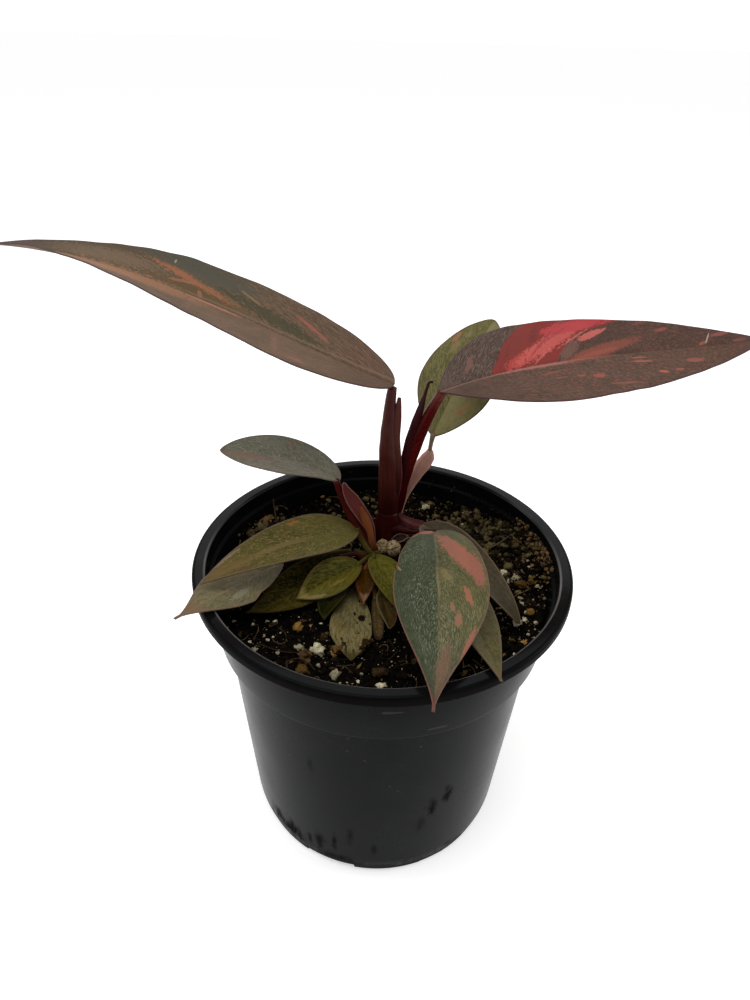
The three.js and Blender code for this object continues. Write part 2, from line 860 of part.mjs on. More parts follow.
const PETIOLE_SIDE = {
  knots: [
    [-3, 11.4, 86.6, 2.6, 2.4],
    [-5.2, 13.2, 89.4, 2.8, 2.4],
    [-7.6, 14.6, 92.8, 3.1, 2.5],
    [-9.8, 15.4, 96.6, 3.1, 2.6],
    [-11.9, 15.9, 101.2, 2.6, 2.4],
    [-13.5, 16.1, 105.3, 2.2, 2.1],
    [-14.4, 16, 108.4, 2, 1.9],
  ],
  steps: 10,
  sides: 8,
};

const SHEATH_SIDE = {
  knots: [
    [-3.3, 12.4, 89, 2, 1.2],
    [-3.7, 13.1, 91.8, 2.2, 1.2],
    [-4.3, 13.5, 94.2, 2.8, 1.2],
    [-5.3, 13.9, 96.2, 3.4, 1.2],
    [-6.6, 14.2, 98.4, 3.8, 1.1],
    [-8.2, 14.6, 100.8, 4, 1],
    [-9.9, 14.9, 103.5, 3.7, 0.9],
    [-11.5, 15.1, 106.3, 2.3, 0.8],
    [-12.3, 15.2, 108.6, 0.9, 0.7],
  ],
  steps: 14,
  sides: 8,
  facing: [0.85, 0.29, 0.44],
};

const AMBER_BRACT = {
  knots: [
    [-1.6, 9.6, 86.2, 2, 1.6],
    [-2.7, 10, 89.2, 1.9, 1.5],
    [-3.6, 11, 91.9, 1.8, 1.4],
    [-4.1, 11.8, 94.2, 1.9, 1.3],
    [-4.9, 12.3, 96.2, 2.5, 1.2],
    [-5.8, 12.8, 98.4, 2.5, 1.1],
    [-6.5, 13, 100, 1.7, 0.9],
    [-7, 13.1, 101.7, 0.8, 0.7],
  ],
  steps: 12,
  sides: 8,
  facing: [0.85, 0.2, 0.44],
};

const PETIOLE_OLIVE = {
  knots: [
    [-2.2, 9.4, 87.3, 2.1, 1.8],
    [-4.3, 10.6, 88, 2.1, 1.8],
    [-6, 12.2, 89.4, 2, 1.8],
    [-7.1, 13.1, 91.2, 1.9, 1.7],
    [-7.9, 13.5, 92.9, 1.8, 1.6],
  ],
  steps: 8,
  sides: 8,
  facing: [0.3, 0.4, 0.86],
};

const PETIOLE_FRONT = {
  knots: [
    [1.6, 16.8, 92.2, 4.6, 4.4],
    [3.6, 15.9, 92.5, 4.5, 4],
    [5.1, 14.8, 93.4, 3.8, 3.4],
    [6.6, 13.6, 93.8, 3, 2.6],
    [8.2, 12.5, 94.2, 2.1, 1.9],
    [9.9, 11.4, 94.9, 1.7, 1.6],
    [12.4, 9.8, 96.2, 1.6, 1.5],
    [14.8, 7.7, 97.6, 1.6, 1.4],
  ],
  steps: 12,
  facing: [0, 0.55, 0.83],
};

const PETIOLE_RIGHT = {
  knots: [
    [4.1, 18, 96.4, 1.2, 1.2],
    [6.1, 16.9, 95.4, 2, 1.2],
    [7.8, 16, 95.1, 2.9, 1.1],
    [9.6, 15, 95, 3.6, 1],
    [11.5, 13.9, 95.6, 3.6, 0.9],
  ],
  steps: 8,
  sides: 8,
  facing: [0, 0.55, 0.83],
};

// Stalk of a low leaf, from the side shoot or the stem to the foot of its blade
const lowStalk = (knots, sides = 6) => ({ knots, sides, steps: 2 * knots.length });

const LOW_LEAVES = [
  {
    name: 'centre_green_leaf',
    blade: CENTRE_GREEN,
    stalk: lowStalk([
      [-2, 9.2, 87.4, 1.6, 1.5],
      [-2.7, 6.6, 89.4, 1.6, 1.5],
      [-2.7, 3.8, 90.4, 1.6, 1.2],
    ]),
    colour: COLOURS.centreGreen,
  },
  {
    name: 'small_green_leaf',
    blade: SMALL_GREEN,
    stalk: lowStalk([
      [-3, 9.4, 86.8, 1.5, 1.4],
      [-4.7, 5.2, 88.8, 1.5, 1.4],
      [-7, 0.2, 90.1, 1.5, 1.2],
    ]),
    colour: COLOURS.leafGreen,
  },
  {
    name: 'rust_bract',
    blade: RUST,
    stalk: lowStalk([
      [-3.2, 9.1, 85.2, 1.5, 1.4],
      [-4.2, 5.6, 86.8, 1.5, 1.4],
      [-4.9, 1.6, 87.8, 1.5, 1.1],
    ]),
    colour: COLOURS.rust,
  },
  {
    name: 'dark_olive_leaf',
    blade: DARK_OLIVE,
    stalk: lowStalk([
      [-3.2, 10, 84.6, 1.6, 1.5],
      [-5.7, 9, 85.3, 1.6, 1.5],
      [-8, 9.2, 87, 1.6, 1.5],
      [-12, 7.2, 87.6, 1.6, 1.2],
    ]),
    colour: COLOURS.darkOlive,
  },
  {
    name: 'left_leaf_over_rim',
    blade: OVER_RIM,
    stalk: lowStalk([
      [-3.2, 11.2, 84.6, 1.8, 1.7],
      [-9, 12.6, 85.4, 1.8, 1.7],
      [-17, 11.4, 85, 1.8, 1.7],
      [-24, 8.2, 85.4, 1.8, 1.6],
      [-30.8, 3.8, 86.9, 1.9, 1.2],
    ]),
    colour: COLOURS.bladeRim,
  },
  {
    name: 'small_grey_leaf',
    blade: SMALL_GREY,
    stalk: lowStalk([
      [-1.4, 8.4, 85, 1.4, 1.3],
      [0, 2, 86.2, 1.4, 1.3],
      [-0.3, -8, 86.6, 1.4, 1.1],
    ]),
    colour: COLOURS.greyGreen,
  },
  {
    name: 'dried_strip_leaf',
    blade: DRIED_STRIP,
    stalk: lowStalk([
      [-2.4, 8.2, 83.6, 1.3, 1.2],
      [-2.4, 1, 84.2, 1.3, 1.2],
      [-1.7, -8.2, 85, 1.3, 1],
    ]),
    colour: COLOURS.dried,
  },
  {
    name: 'faded_leaf',
    blade: FADED,
    stalk: lowStalk([
      [-3.2, 8.4, 83.8, 1.5, 1.4],
      [-5.8, 4.2, 83.6, 1.5, 1.4],
      [-7.3, -1.8, 83.4, 1.5, 1.2],
    ]),
    colour: COLOURS.faded,
  },
  {
    name: 'tiny_green_leaf',
    blade: TINY_GREEN,
    stalk: lowStalk([
      [-3.8, 9, 83.6, 1.4, 1.3],
      [-8.2, 4.6, 83.4, 1.4, 1.3],
      [-10.6, -2.8, 83.7, 1.4, 1.1],
    ]),
    colour: COLOURS.deepGreen,
  },
  {
    name: 'front_right_leaf',
    blade: FRONT_RIGHT,
    stalk: lowStalk([
      [3, 15.6, 87.8, 1.9, 1.8],
      [8, 12.8, 88.6, 1.9, 1.8],
      [13.4, 8, 90, 1.9, 1.7],
      [17.3, 2.2, 90.6, 1.9, 1.4],
    ]),
    colour: COLOURS.stripedOlive,
  },
];

const DRY_SKIN = leaf([2.7, 13.3, 89.7], 345, 32, 5.8, 1.5, {
  arch: [-8, 0],
  roll: [-45, 0],
  fold: 18,
  widest: 0.5,
  blunt: 0.5,
  point: 0.7,
  rows: 6,
  cols: 4,
});

// The large perlite nugget has two lobes, each given as centre and radius across, deep and high
const NUGGET_SEED = 3;
const NUGGET_UNEVEN = 0.12;
const NUGGET_LOBES = [
  { at: [-0.1, 11.5, 88.4], radius: [2.1, 2.1, 2.7] },
  { at: [3.1, 11.2, 88.2], radius: [2.2, 2.2, 2.8] },
];

const group = new THREE.Group();
group.name = 'potted_orange_princess_philodendron';

// Everything already placed, each with the clearance shape that later pieces keep clear of
const placed = [];

function place(name, shape, clearance, colour, roughness) {
  const near = placed.filter((other) => other.clearance).map((other) => other.clearance);
  const cut = near.length > 0 ? largest(shape.subtract(wasm.Manifold.union(near))) : largest(shape);
  placed.push({ name, clearance });
  group.add(meshOf(cut, name, colour, roughness));
}

function placeStalk(name, stalk, colour, roughness = 0.42) {
  place(name, stalkSolid(stalk), stalkSolid(stalk, FIT_GAP), colour, roughness);
}

function placeBlade(name, blade, colour, roughness = 0.5) {
  place(name, bladeSolid(blade), bladeSolid(blade, FIT_GAP), colour, roughness);
}

// A petiole together with the sheath wing that grows from its side
function placeWinged(name, stalk, wing, colour) {
  place(
    name,
    stalkSolid(stalk).add(stalkSolid(wing)),
    stalkSolid(stalk, FIT_GAP).add(stalkSolid(wing, FIT_GAP)),
    colour,
    0.42,
  );
}

placeStalk('stem', STEM, COLOURS.stem);
placeStalk('side_shoot', SIDE_SHOOT, COLOURS.petioleOlive);
placeWinged(
  'upper_left_leaf_petiole',
  PETIOLE_UPPER_LEFT,
  WING_UPPER_LEFT,
  COLOURS.petioleBrown,
);
placeWinged(
  'upper_right_leaf_petiole',
  PETIOLE_UPPER_RIGHT,
  WING_UPPER_RIGHT,
  COLOURS.petioleRed,
);
placeStalk('back_leaf_sheath', SHEATH_BACK, COLOURS.sheathPink);
placeStalk('back_leaf_petiole', PETIOLE_BACK, COLOURS.petiolePale);
placeStalk('amber_bract', AMBER_BRACT, COLOURS.amber);
placeStalk('olive_leaf_petiole', PETIOLE_OLIVE, COLOURS.petioleOlive);
placeWinged('side_leaf_petiole', PETIOLE_SIDE, SHEATH_SIDE, COLOURS.petioleSide);
placeStalk('front_leaf_petiole', PETIOLE_FRONT, COLOURS.petioleFront);
placeStalk('right_leaf_petiole', PETIOLE_RIGHT, COLOURS.petioleRight);

placeBlade('upper_left_leaf_blade', UPPER_LEFT, COLOURS.bladeUpperLeft);
placeBlade('upper_right_leaf_blade', UPPER_RIGHT, COLOURS.bladeUpperRight);
placeBlade('back_leaf_blade', BACK_GREEN, COLOURS.bladeBack);
placeBlade('side_leaf_blade', SIDE_LEFT, COLOURS.bladeSide);
placeBlade('olive_leaf_blade', LEFT_OLIVE, COLOURS.bladeOlive);
placeBlade('front_leaf_blade', FRONT, COLOURS.bladeFront);
placeBlade('right_leaf_blade', RIGHT_BROWN, COLOURS.brownOlive);

LOW_LEAVES.forEach(({ name, blade, stalk, colour }) => {
  place(
    name,
    bladeSolid(blade).add(stalkSolid(stalk)),
    bladeSolid(blade, FIT_GAP).add(stalkSolid(stalk, FIT_GAP)),
    colour,
    0.55,
  );
});

placeBlade('dry_leaf_base', DRY_SKIN, COLOURS.drySkin, 0.7);

const nuggetShape = (extra) => {
  const random = seededRandom(NUGGET_SEED);
  const lobes = NUGGET_LOBES.map(({ at, radius }) => {
    const spread = radius.map((r) => r + extra);
    return pebble(at, spread, 1, NUGGET_UNEVEN, random);
  });
  return wasm.Manifold.union(lobes);
};
place('perlite_lump', nuggetShape(0), nuggetShape(FIT_GAP), COLOURS.perlite, 0.9);

place('soil', buildSoil(), null, COLOURS.soil, 0.95);

group.add(meshOf(buildPot(), 'pot', COLOURS.pot, 0.38));

export default group;
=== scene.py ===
"""Looks of the potted orange princess philodendron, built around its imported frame.

Sizes are millimetres until a mesh is made, and angles are degrees. The pot stands on z = 0
with its axis on Z, and its front is towards -Y.
"""
import logging
import math
import random
from dataclasses import dataclass, field
from enum import Enum
from typing import Iterable, Mapping, Optional, Sequence, Union

import bpy
import numpy as np
from mathutils import Matrix, Vector, noise


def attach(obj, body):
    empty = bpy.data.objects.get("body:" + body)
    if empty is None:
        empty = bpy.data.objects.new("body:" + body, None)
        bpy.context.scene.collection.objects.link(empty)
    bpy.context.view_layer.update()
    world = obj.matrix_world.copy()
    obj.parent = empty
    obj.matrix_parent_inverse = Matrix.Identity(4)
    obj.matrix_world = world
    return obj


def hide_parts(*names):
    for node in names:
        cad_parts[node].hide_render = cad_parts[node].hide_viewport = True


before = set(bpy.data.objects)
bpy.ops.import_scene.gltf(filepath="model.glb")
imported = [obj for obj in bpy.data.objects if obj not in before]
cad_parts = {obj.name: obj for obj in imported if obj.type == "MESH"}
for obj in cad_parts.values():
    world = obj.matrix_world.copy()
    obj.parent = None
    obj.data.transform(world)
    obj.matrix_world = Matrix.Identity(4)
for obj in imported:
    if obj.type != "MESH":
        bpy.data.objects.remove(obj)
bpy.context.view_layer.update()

log = logging.getLogger("philodendron")

MM = 0.001
BODY = "root"
Point = tuple[float, float, float]
Pair = tuple[float, float]
Number = Union[float, "Value"]
Paint = Union[str, "Tint"]

# Surface coordinates: millimetres along and across, divided by the scale, and shares of the whole.
LEAF_MAP = "leaf_mm"
PART_MAP = "part"
LEAF_MAP_SCALE = 100.0

# Heights on the pot, the radius at which marks on its side are measured, a height safely below
# it, and the gap between the soil and the wall.
RIM_TOP = 94.5
RIM_UNDER = 91.5
LEDGE = 89.4
SIDE_RADIUS = 45.0
BELOW = -2.0
SOIL_GAP = 0.3


def paint(code: str) -> tuple[float, float, float, float]:
    """Turns a colour written as "#rrggbb" into Blender's linear values.

    Args:
        code: The colour as six hexadecimal digits after a hash.

    Returns:
        Red, green, blue and an alpha of 1.
    """
    shown = [int(code[i : i + 2], 16) / 255 for i in (1, 3, 5)]
    linear = [v / 12.92 if v <= 0.04045 else ((v + 0.055) / 1.055) ** 2.4 for v in shown]
    return (linear[0], linear[1], linear[2], 1.0)


@dataclass(frozen=True)
class Value:
    """A number that varies in a shader; sums written with it add Math nodes."""

    graph: "Graph"
    socket: bpy.types.NodeSocket

    def __add__(self, other: Number) -> "Value":
        """Adds."""
        return self.graph.math("ADD", self, other)

    def __radd__(self, other: Number) -> "Value":
        """Adds, with this value on the right."""
        return self.graph.math("ADD", other, self)

    def __sub__(self, other: Number) -> "Value":
        """Subtracts."""
        return self.graph.math("SUBTRACT", self, other)

    def __rsub__(self, other: Number) -> "Value":
        """Subtracts this value from another."""
        return self.graph.math("SUBTRACT", other, self)

    def __mul__(self, other: Number) -> "Value":
        """Multiplies."""
        return self.graph.math("MULTIPLY", self, other)

    def __truediv__(self, other: Number) -> "Value":
        """Divides."""
        return self.graph.math("DIVIDE", self, other)

    def __rtruediv__(self, other: Number) -> "Value":
        """Divides another value by this one."""
        return self.graph.math("DIVIDE", other, self)

    def __pow__(self, other: Number) -> "Value":
        """Raises to a power."""
        return self.graph.math("POWER", self, other)

    def __abs__(self) -> "Value":
        """Drops the sign."""
        return self.graph.math("ABSOLUTE", self)

    def sine(self) -> "Value":
        """Sine of this value in radians."""
        return self.graph.math("SINE", self)

    def most(self, other: Number) -> "Value":
        """The larger of two values."""
        return self.graph.math("MAXIMUM", self, other)

    def rise(self, low: Number, high: Number) -> "Value":
        """Smooth step from 0 at low to 1 at high."""
        node = self.graph.node(
            "ShaderNodeMapRange",
            {"interpolation_type": "SMOOTHSTEP", "clamp": True},
            {"Value": self, "From Min": low, "From Max": high},
        )
        return Value(self.graph, node.outputs["Result"])

    def fall(self, low: Number, high: Number) -> "Value":
        """Smooth step from 1 at low down to 0 at high."""
        return 1.0 - self.rise(low, high)

    def within(self, span: Pair, soft: float) -> "Value":
        """1 inside a span and 0 outside, with soft ends."""
        return self.rise(span[0] - soft, span[0] + soft) * self.fall(span[1] - soft, span[1] + soft)


@dataclass(frozen=True)
class Tint:
    """A colour that varies in a shader."""

    graph: "Graph"
    socket: bpy.types.NodeSocket

    def __mul__(self, other: Number) -> "Tint":
        """Makes the colour lighter or darker by a factor."""
        node = self.graph.node(
            "ShaderNodeVectorMath", {"operation": "SCALE"}, {0: self, "Scale": other}
        )
        return Tint(self.graph, node.outputs["Vector"])

    def over(self, share: Number, other: Paint) -> "Tint":
        """Lays another colour over this one.

        Args:
            share: How much of the other colour shows, 0 to 1.
            other: The colour laid over this one.

        Returns:
            The mixed colour.
        """
        return self.graph.mix(share, self, other)


class Graph:
    """The nodes of one material, or of the world."""

    def __init__(self, owner: Union[bpy.types.Material, bpy.types.World]) -> None:
        """Starts with no nodes.

        Args:
            owner: The material or the world.
        """
        self.owner = owner
        owner.use_nodes = True
        self.tree = owner.node_tree
        self.tree.nodes.clear()

    def node(
        self,
        kind: str,
        settings: Optional[Mapping[str, object]] = None,
        inputs: Optional[Mapping[Union[str, int], object]] = None,
    ) -> bpy.types.Node:
        """Adds one node.

        Args:
            kind: The node's type.
            settings: Properties that are set first.
            inputs: Values or links of its sockets, by name or number.

        Returns:
            The new node.
        """
        made = self.tree.nodes.new(kind)
        for key, value in (settings or {}).items():
            setattr(made, key, value)
        for key, value in (inputs or {}).items():
            socket = made.inputs[key]
            if isinstance(value, (Value, Tint)):
                self.tree.links.new(value.socket, socket)
            elif isinstance(value, bpy.types.NodeSocket):
                self.tree.links.new(value, socket)
            elif isinstance(value, str):
                socket.default_value = paint(value)
            else:
                socket.default_value = value
        return made

    def math(self, operation: str, *terms: Number) -> Value:
        """Adds a Math node.

        Args:
            operation: The Math node's operation.
            terms: The numbers or values that it takes.

        Returns:
            Its result.
        """
        made = self.node("ShaderNodeMath", {"operation": operation}, dict(enumerate(terms)))
        return Value(self, made.outputs[0])

    def mix(self, share: Number, under: Paint, over: Paint) -> Tint:
        """Mixes two colours.

        Args:
            share: How much of the second colour shows, 0 to 1.
            under: The first colour.
            over: The second colour.

        Returns:
            The mixed colour.
        """
        made = self.node("ShaderNodeMix", {"data_type": "RGBA"}, {0: share, 6: under, 7: over})
        return Tint(self, made.outputs[2])

    def place(self, x: Number, y: Number, z: Number) -> bpy.types.NodeSocket:
        """Joins three numbers into a vector."""
        return self.node("ShaderNodeCombineXYZ", None, {"X": x, "Y": y, "Z": z}).outputs[0]

    def speckle(
        self,
        where: bpy.types.NodeSocket,
        scale: float = 1.0,
        detail: float = 2.0,
        rough: float = 0.5,
        warp: float = 0.0,
    ) -> Value:
        """Adds soft random noise between about 0.2 and 0.8.

        Args:
            where: The place in the noise.
            scale: How fine it is.
            detail: How many finer layers it has.
            rough: How strong the finer layers are.
            warp: How far it is swirled.

        Returns:
            The noise.
        """
        inputs = {"Vector": where, "Scale": scale, "Detail": detail, "Roughness": rough, "Distortion": warp}
        return Value(self, self.node("ShaderNodeTexNoise", None, inputs).outputs[0])

    def cells(self, where: bpy.types.NodeSocket, scale: float = 1.0) -> tuple[Value, Value]:
        """Adds a pattern of cells.

        Args:
            where: The place in the pattern.
            scale: How fine it is.

        Returns:
            The distance from each cell's middle, and a random number for each cell.
        """
        made = self.node("ShaderNodeTexVoronoi", None, {"Vector": where, "Scale": scale})
        part = self.node("ShaderNodeSeparateColor", None, {0: made.outputs["Color"]})
        return Value(self, made.outputs["Distance"]), Value(self, part.outputs[0])

    def split(self, vector: bpy.types.NodeSocket, scale: float = 1.0) -> tuple[Value, Value, Value]:
        """Takes a vector apart.

        Args:
            vector: The vector.
            scale: What each part is multiplied by.

        Returns:
            Its three parts.
        """
        parts = self.node("ShaderNodeSeparateXYZ", None, {0: vector}).outputs
        values = [Value(self, socket) for socket in parts]
        if scale == 1.0:
            return values[0], values[1], values[2]
        return values[0] * scale, values[1] * scale, values[2] * scale

    def map(self, name: str) -> bpy.types.NodeSocket:
        """The surface coordinates of that name."""
        return self.node("ShaderNodeUVMap", {"uv_map": name}).outputs[0]

    def here(self) -> bpy.types.NodeSocket:
        """The place on the piece, in metres."""
        return self.node("ShaderNodeTexCoord").outputs["Object"]

    def finish(
        self,
        colour: Paint,
        roughness: Number,
        shine: float,
        relief: Optional[Value] = None,
        depth: float = 0.1,
        others: Optional[Mapping[str, object]] = None,
        matt: Optional[Value] = None,
        matt_colour: str = "#000000",
    ) -> bpy.types.Material:
        """Adds the surface shader.

        Args:
            colour: The base colour.
            roughness: How matt it is.
            shine: How strongly it reflects, the same all over.
            relief: Height for the bump, 0 to 1.
            depth: The bump's height in millimetres.
            others: The shader's other inputs.
            matt: Where a matt layer lies over the surface, 0 to 1.
            matt_colour: The colour of that layer.

        Returns:
            The finished material.
        """
        inputs = {"Base Color": colour, "Roughness": roughness, "Specular IOR Level": shine}
        inputs.update(others or {})
        if relief is not None:
            height = {"Height": relief, "Strength": 1.0, "Distance": depth * MM}
            inputs["Normal"] = self.node("ShaderNodeBump", None, height).outputs[0]
        shader = self.node("ShaderNodeBsdfPrincipled", None, inputs)
        if matt is not None:
            dull = {"Base Color": matt_colour, "Roughness": 0.95, "Specular IOR Level": 0.0}
            layer = self.node("ShaderNodeBsdfPrincipled", None, dull)
            both = {0: matt, 1: shader.outputs[0], 2: layer.outputs[0]}
            shader = self.node("ShaderNodeMixShader", None, both)
        self.node("ShaderNodeOutputMaterial", None, {"Surface": shader.outputs[0]})
        return self.owner


def material_graph(name: str) -> Graph:
    """The empty graph of a new material."""
    return Graph(bpy.data.materials.new(name))


class Side(Enum):
    """The half of a blade that a marking is on, seen from its base."""

    LEFT = -1
    RIGHT = 1


@dataclass(frozen=True)
class Streak:
    """A feathered marking of one colour that lies along the side veins.

    Its place and size are measured on the blade, from its base and from its midrib.
    """

    along: float
    across: float
    length: float
    width: float
    lean: float
    colour: str
    strength: float = 1.0
    ragged: float = 0.5

    def mask(self, leaf: "LeafSpace") -> Value:
        """How much of the marking shows at each place."""
        turn = math.radians(self.lean)
        ds = leaf.along - self.along
        dw = leaf.across - self.across
        ahead = (ds * math.cos(turn) + dw * math.sin(turn)) / (self.length / 2)
        aside = (dw * math.cos(turn) - ds * math.sin(turn)) / (self.width / 2)
        reach = (ahead * ahead + aside * aside) ** 0.5
        edge = reach + (leaf.feather - 0.5) * (2.0 * self.ragged) + (leaf.grit - 0.5) * (3.8 * self.ragged)
        return edge.fall(0.8, 1.05) * (leaf.grit * 0.8 + 0.6) * self.strength


@dataclass(frozen=True)
class VeinBand:
    """A broad marking between two side veins on one half of the blade."""

    start: float
    end: float
    bow: float
    side: Side
    colour: str
    strength: float = 1.0
    inner: float = 0.03
    outer: float = 1.2
    ragged: float = 2.0

    def mask(self, leaf: "LeafSpace") -> Value:
        """How much of the marking shows at each place."""
        shift = (leaf.feather - 0.5) * (4 * self.ragged) + (leaf.grit - 0.5) * (2 * self.ragged)
        vein = leaf.vein + shift
        top = leaf.reach * leaf.reach * self.bow + self.end
        inside = vein.rise(self.start - 0.4, self.start + 0.5) * (top - vein).rise(-0.4, 0.5)
        half = leaf.share * float(self.side.value)
        band = half.rise(self.inner - 0.02, self.inner + 0.02) * half.fall(self.outer - 0.1, self.outer)
        return inside * band * self.strength


@dataclass(frozen=True)
class Flecks:
    """Many small marks of one colour, drawn out along the side veins."""

    colour: str
    cover: float
    grain: float
    stretch: float
    strength: float = 0.8
    span: Pair = (-0.1, 1.1)
    across: Pair = (-1.2, 1.2)

    def mask(self, leaf: "LeafSpace", order: int) -> Value:
        """How much of the marks shows at each place."""
        graph = leaf.graph
        spot = graph.place(
            leaf.vein / self.grain,
            leaf.share * (leaf.half / (self.grain * self.stretch)),
            leaf.along * 0.02 + (7.3 * order + leaf.seed),
        )
        dots = graph.speckle(spot, 1.0, 2.0, 0.55)
        threshold = 0.68 - 0.38 * self.cover
        window = leaf.part.within(self.span, 0.06) * leaf.share.within(self.across, 0.12)
        return dots.rise(threshold, threshold + 0.06) * window * self.strength


class LeafSpace:
    """The coordinates of a blade's surface in a shader."""

    def __init__(self, graph: Graph, half: float, veins: Pair, seed: float) -> None:
        """Reads the blade's surface coordinates.

        Args:
            graph: The material's nodes.
            half: Half of the blade's greatest width.
            veins: How far the side veins lean towards the tip, straight and curved.
            seed: Shifts the blade's random patterns.
        """
        self.graph = graph
        self.half = half
        self.seed = seed
        self.along, self.across, _ = graph.split(graph.map(LEAF_MAP), LEAF_MAP_SCALE)
        self.part, self.share, _ = graph.split(graph.map(PART_MAP))
        self.reach = abs(self.share)
        lean = self.reach * (half * veins[0]) + self.reach * self.reach * (half * veins[1])
        self.vein = self.along - lean
        strand = graph.place(self.vein / 0.8, self.share * (half / 6.0), self.along * 0.03 + seed)
        self.feather = graph.speckle(strand, 1.0, 3.0, 0.65)
        self.grit = graph.speckle(graph.place(self.along, self.across, seed + 11.0), 1.1, 4.0, 0.7)
        broad = graph.place(self.along / 11.0, self.across / 6.0, seed + 3.1)
        self.blotch = graph.speckle(broad, 1.0, 2.0, 0.5)
        self.edge = abs(self.across) * (1.0 / self.reach.most(0.001) - 1.0)


@dataclass(frozen=True)
class BladeFinish:
    """Colours and markings of one blade."""

    left: str
    right: str
    deep: str
    pale: str
    margin: str
    rib: str
    tip: str
    base: str
    under: str
    margin_width: float = 0.7
    margin_strength: float = 0.8
    rib_width: float = 0.5
    rib_strength: float = 0.5
    rib_shift: float = 0.0
    rib_reach: float = 1.0
    tip_from: float = 0.86
    tip_strength: float = 0.9
    base_to: float = 0.1
    base_strength: float = 0.6
    mottle: float = 0.5
    streaks: float = 0.2
    grain: float = 0.4
    line_strength: float = 0.05
    brush: float = 0.16
    gloss: float = 0.43
    shine: float = 0.13
    flecks: tuple[Flecks, ...] = ()
    marks: tuple[Union[Streak, VeinBand], ...] = ()

    def top(self, name: str, blade: "Blade") -> bpy.types.Material:
        """Material of the upper face.

        Args:
            name: The piece's name.
            blade: The blade that it is for.

        Returns:
            The material.
        """
        graph = material_graph(f"{name}_top")
        leaf = LeafSpace(graph, blade.half, blade.veins, blade.seed)
        colour = graph.mix(leaf.share.rise(-0.03, 0.03), self.left, self.right)
        colour = colour.over(leaf.blotch.rise(0.42, 0.66) * self.mottle, self.deep)
        colour = colour.over(leaf.feather.rise(0.48, 0.66) * self.streaks, self.pale)
        colour = colour.over(leaf.grit.rise(0.5, 0.64) * self.grain, self.pale)
        colour = colour.over(leaf.grit.fall(0.36, 0.48) * self.grain, self.deep)
        base = leaf.part.fall(self.base_to * 0.3, self.base_to)
        colour = colour.over(base * self.base_strength, self.base)
        for order, flecks in enumerate(self.flecks):
            colour = colour.over(flecks.mask(leaf, order), flecks.colour)
        for mark in self.marks:
            colour = colour.over(mark.mask(leaf), mark.colour)
        tip = (leaf.part + (leaf.feather - 0.5) * 0.12).rise(self.tip_from, min(1.0, self.tip_from + 0.1))
        colour = colour.over(tip * self.tip_strength, self.tip)
        rib = (1.0 - leaf.part) * self.rib_shift
        line = abs(leaf.across - rib).fall(self.rib_width * 0.3, self.rib_width)
        line = line * leaf.part.fall(self.rib_reach * 0.55, self.rib_reach) * self.rib_strength
        colour = colour.over(line, self.rib)
        edge = (leaf.edge + (leaf.feather - 0.5) * 0.5).fall(self.margin_width * 0.25, self.margin_width)
        colour = colour.over(edge * self.margin_strength, self.margin)
        waves = (leaf.vein * (math.tau / 1.15) + leaf.feather * 5.0).sine() * 0.5 + 0.5
        fine = graph.speckle(graph.place(leaf.along, leaf.across, leaf.seed), 4.2, 2.0, 0.6)
        strand = graph.place(leaf.vein / 0.3, leaf.share * (leaf.half / 5.0), leaf.seed + 23.0)
        hair = graph.speckle(strand, 1.0, 2.0, 0.5)
        shade = (waves - 0.5) * self.line_strength + (hair - 0.5) * self.brush + (fine - 0.5) * 0.3
        colour = colour * (shade + 1.0)
        relief = waves * 0.35 + fine * 0.65
        rough = (fine - 0.5) * 0.25 + self.gloss + leaf.blotch * 0.08
        return graph.finish(colour, rough, self.shine, relief, 0.05)

    def below(self, name: str, blade: "Blade") -> bpy.types.Material:
        """Material of the under face, with its raised midrib."""
        graph = material_graph(f"{name}_under")
        leaf = LeafSpace(graph, blade.half, blade.veins, blade.seed + 40.0)
        colour = graph.mix(leaf.blotch.rise(0.4, 0.68) * 0.45, self.under, self.left)
        colour = colour.over(leaf.feather.rise(0.5, 0.75) * 0.35, self.pale)
        colour = colour.over(abs(leaf.across).fall(0.3, 0.9) * 0.7, self.rib)
        colour = colour.over(leaf.edge.fall(0.1, self.margin_width) * 0.6, self.margin)
        fine = graph.speckle(graph.place(leaf.along, leaf.across, leaf.seed), 4.0, 2.0, 0.6)
        waves = (leaf.vein * (math.tau / 2.4)).sine() * 0.5 + 0.5
        colour = colour * (0.92 + fine * 0.16)
        relief = waves * 0.5 + fine * 0.5
        return graph.finish(colour, 0.5 + fine * 0.1, 0.12, relief, 0.05)


@dataclass(frozen=True)
class StalkFinish:
    """Colours of a stalk, sheath or bract."""

    front: str
    back: str
    pale: str
    low: str
    low_to: float = 0.2
    low_strength: float = 0.6
    streaks: float = 0.4
    gloss: float = 0.36
    shine: float = 0.1
    top: str = ""
    top_from: float = 0.8

    def material(self, name: str) -> bpy.types.Material:
        """Material of the piece.

        Args:
            name: The piece's name.

        Returns:
            The material.
        """
        graph = material_graph(f"{name}_skin")
        along, across, _ = graph.split(graph.map(LEAF_MAP), LEAF_MAP_SCALE)
        part, depth, _ = graph.split(graph.map(PART_MAP))
        strand = graph.speckle(graph.place(across * 0.05, depth * 5.0, along / 14.0), 1.0, 3.0, 0.6)
        fine = graph.speckle(graph.place(across * 0.09, depth * 9.0, along / 1.6), 1.0, 2.0, 0.6)
        colour = graph.mix(depth.rise(-0.7, 0.6), self.front, self.back)
        colour = colour.over(strand.rise(0.45, 0.7) * self.streaks, self.pale)
        colour = colour.over(part.fall(0.0, self.low_to) * self.low_strength, self.low)
        if self.top:
            colour = colour.over(part.rise(self.top_from, 1.0), self.top)
        colour = colour * (0.86 + fine * 0.28)
        rough = self.gloss + (fine - 0.5) * 0.2
        return graph.finish(colour, rough, self.shine, strand * 0.6 + fine * 0.4, 0.06)


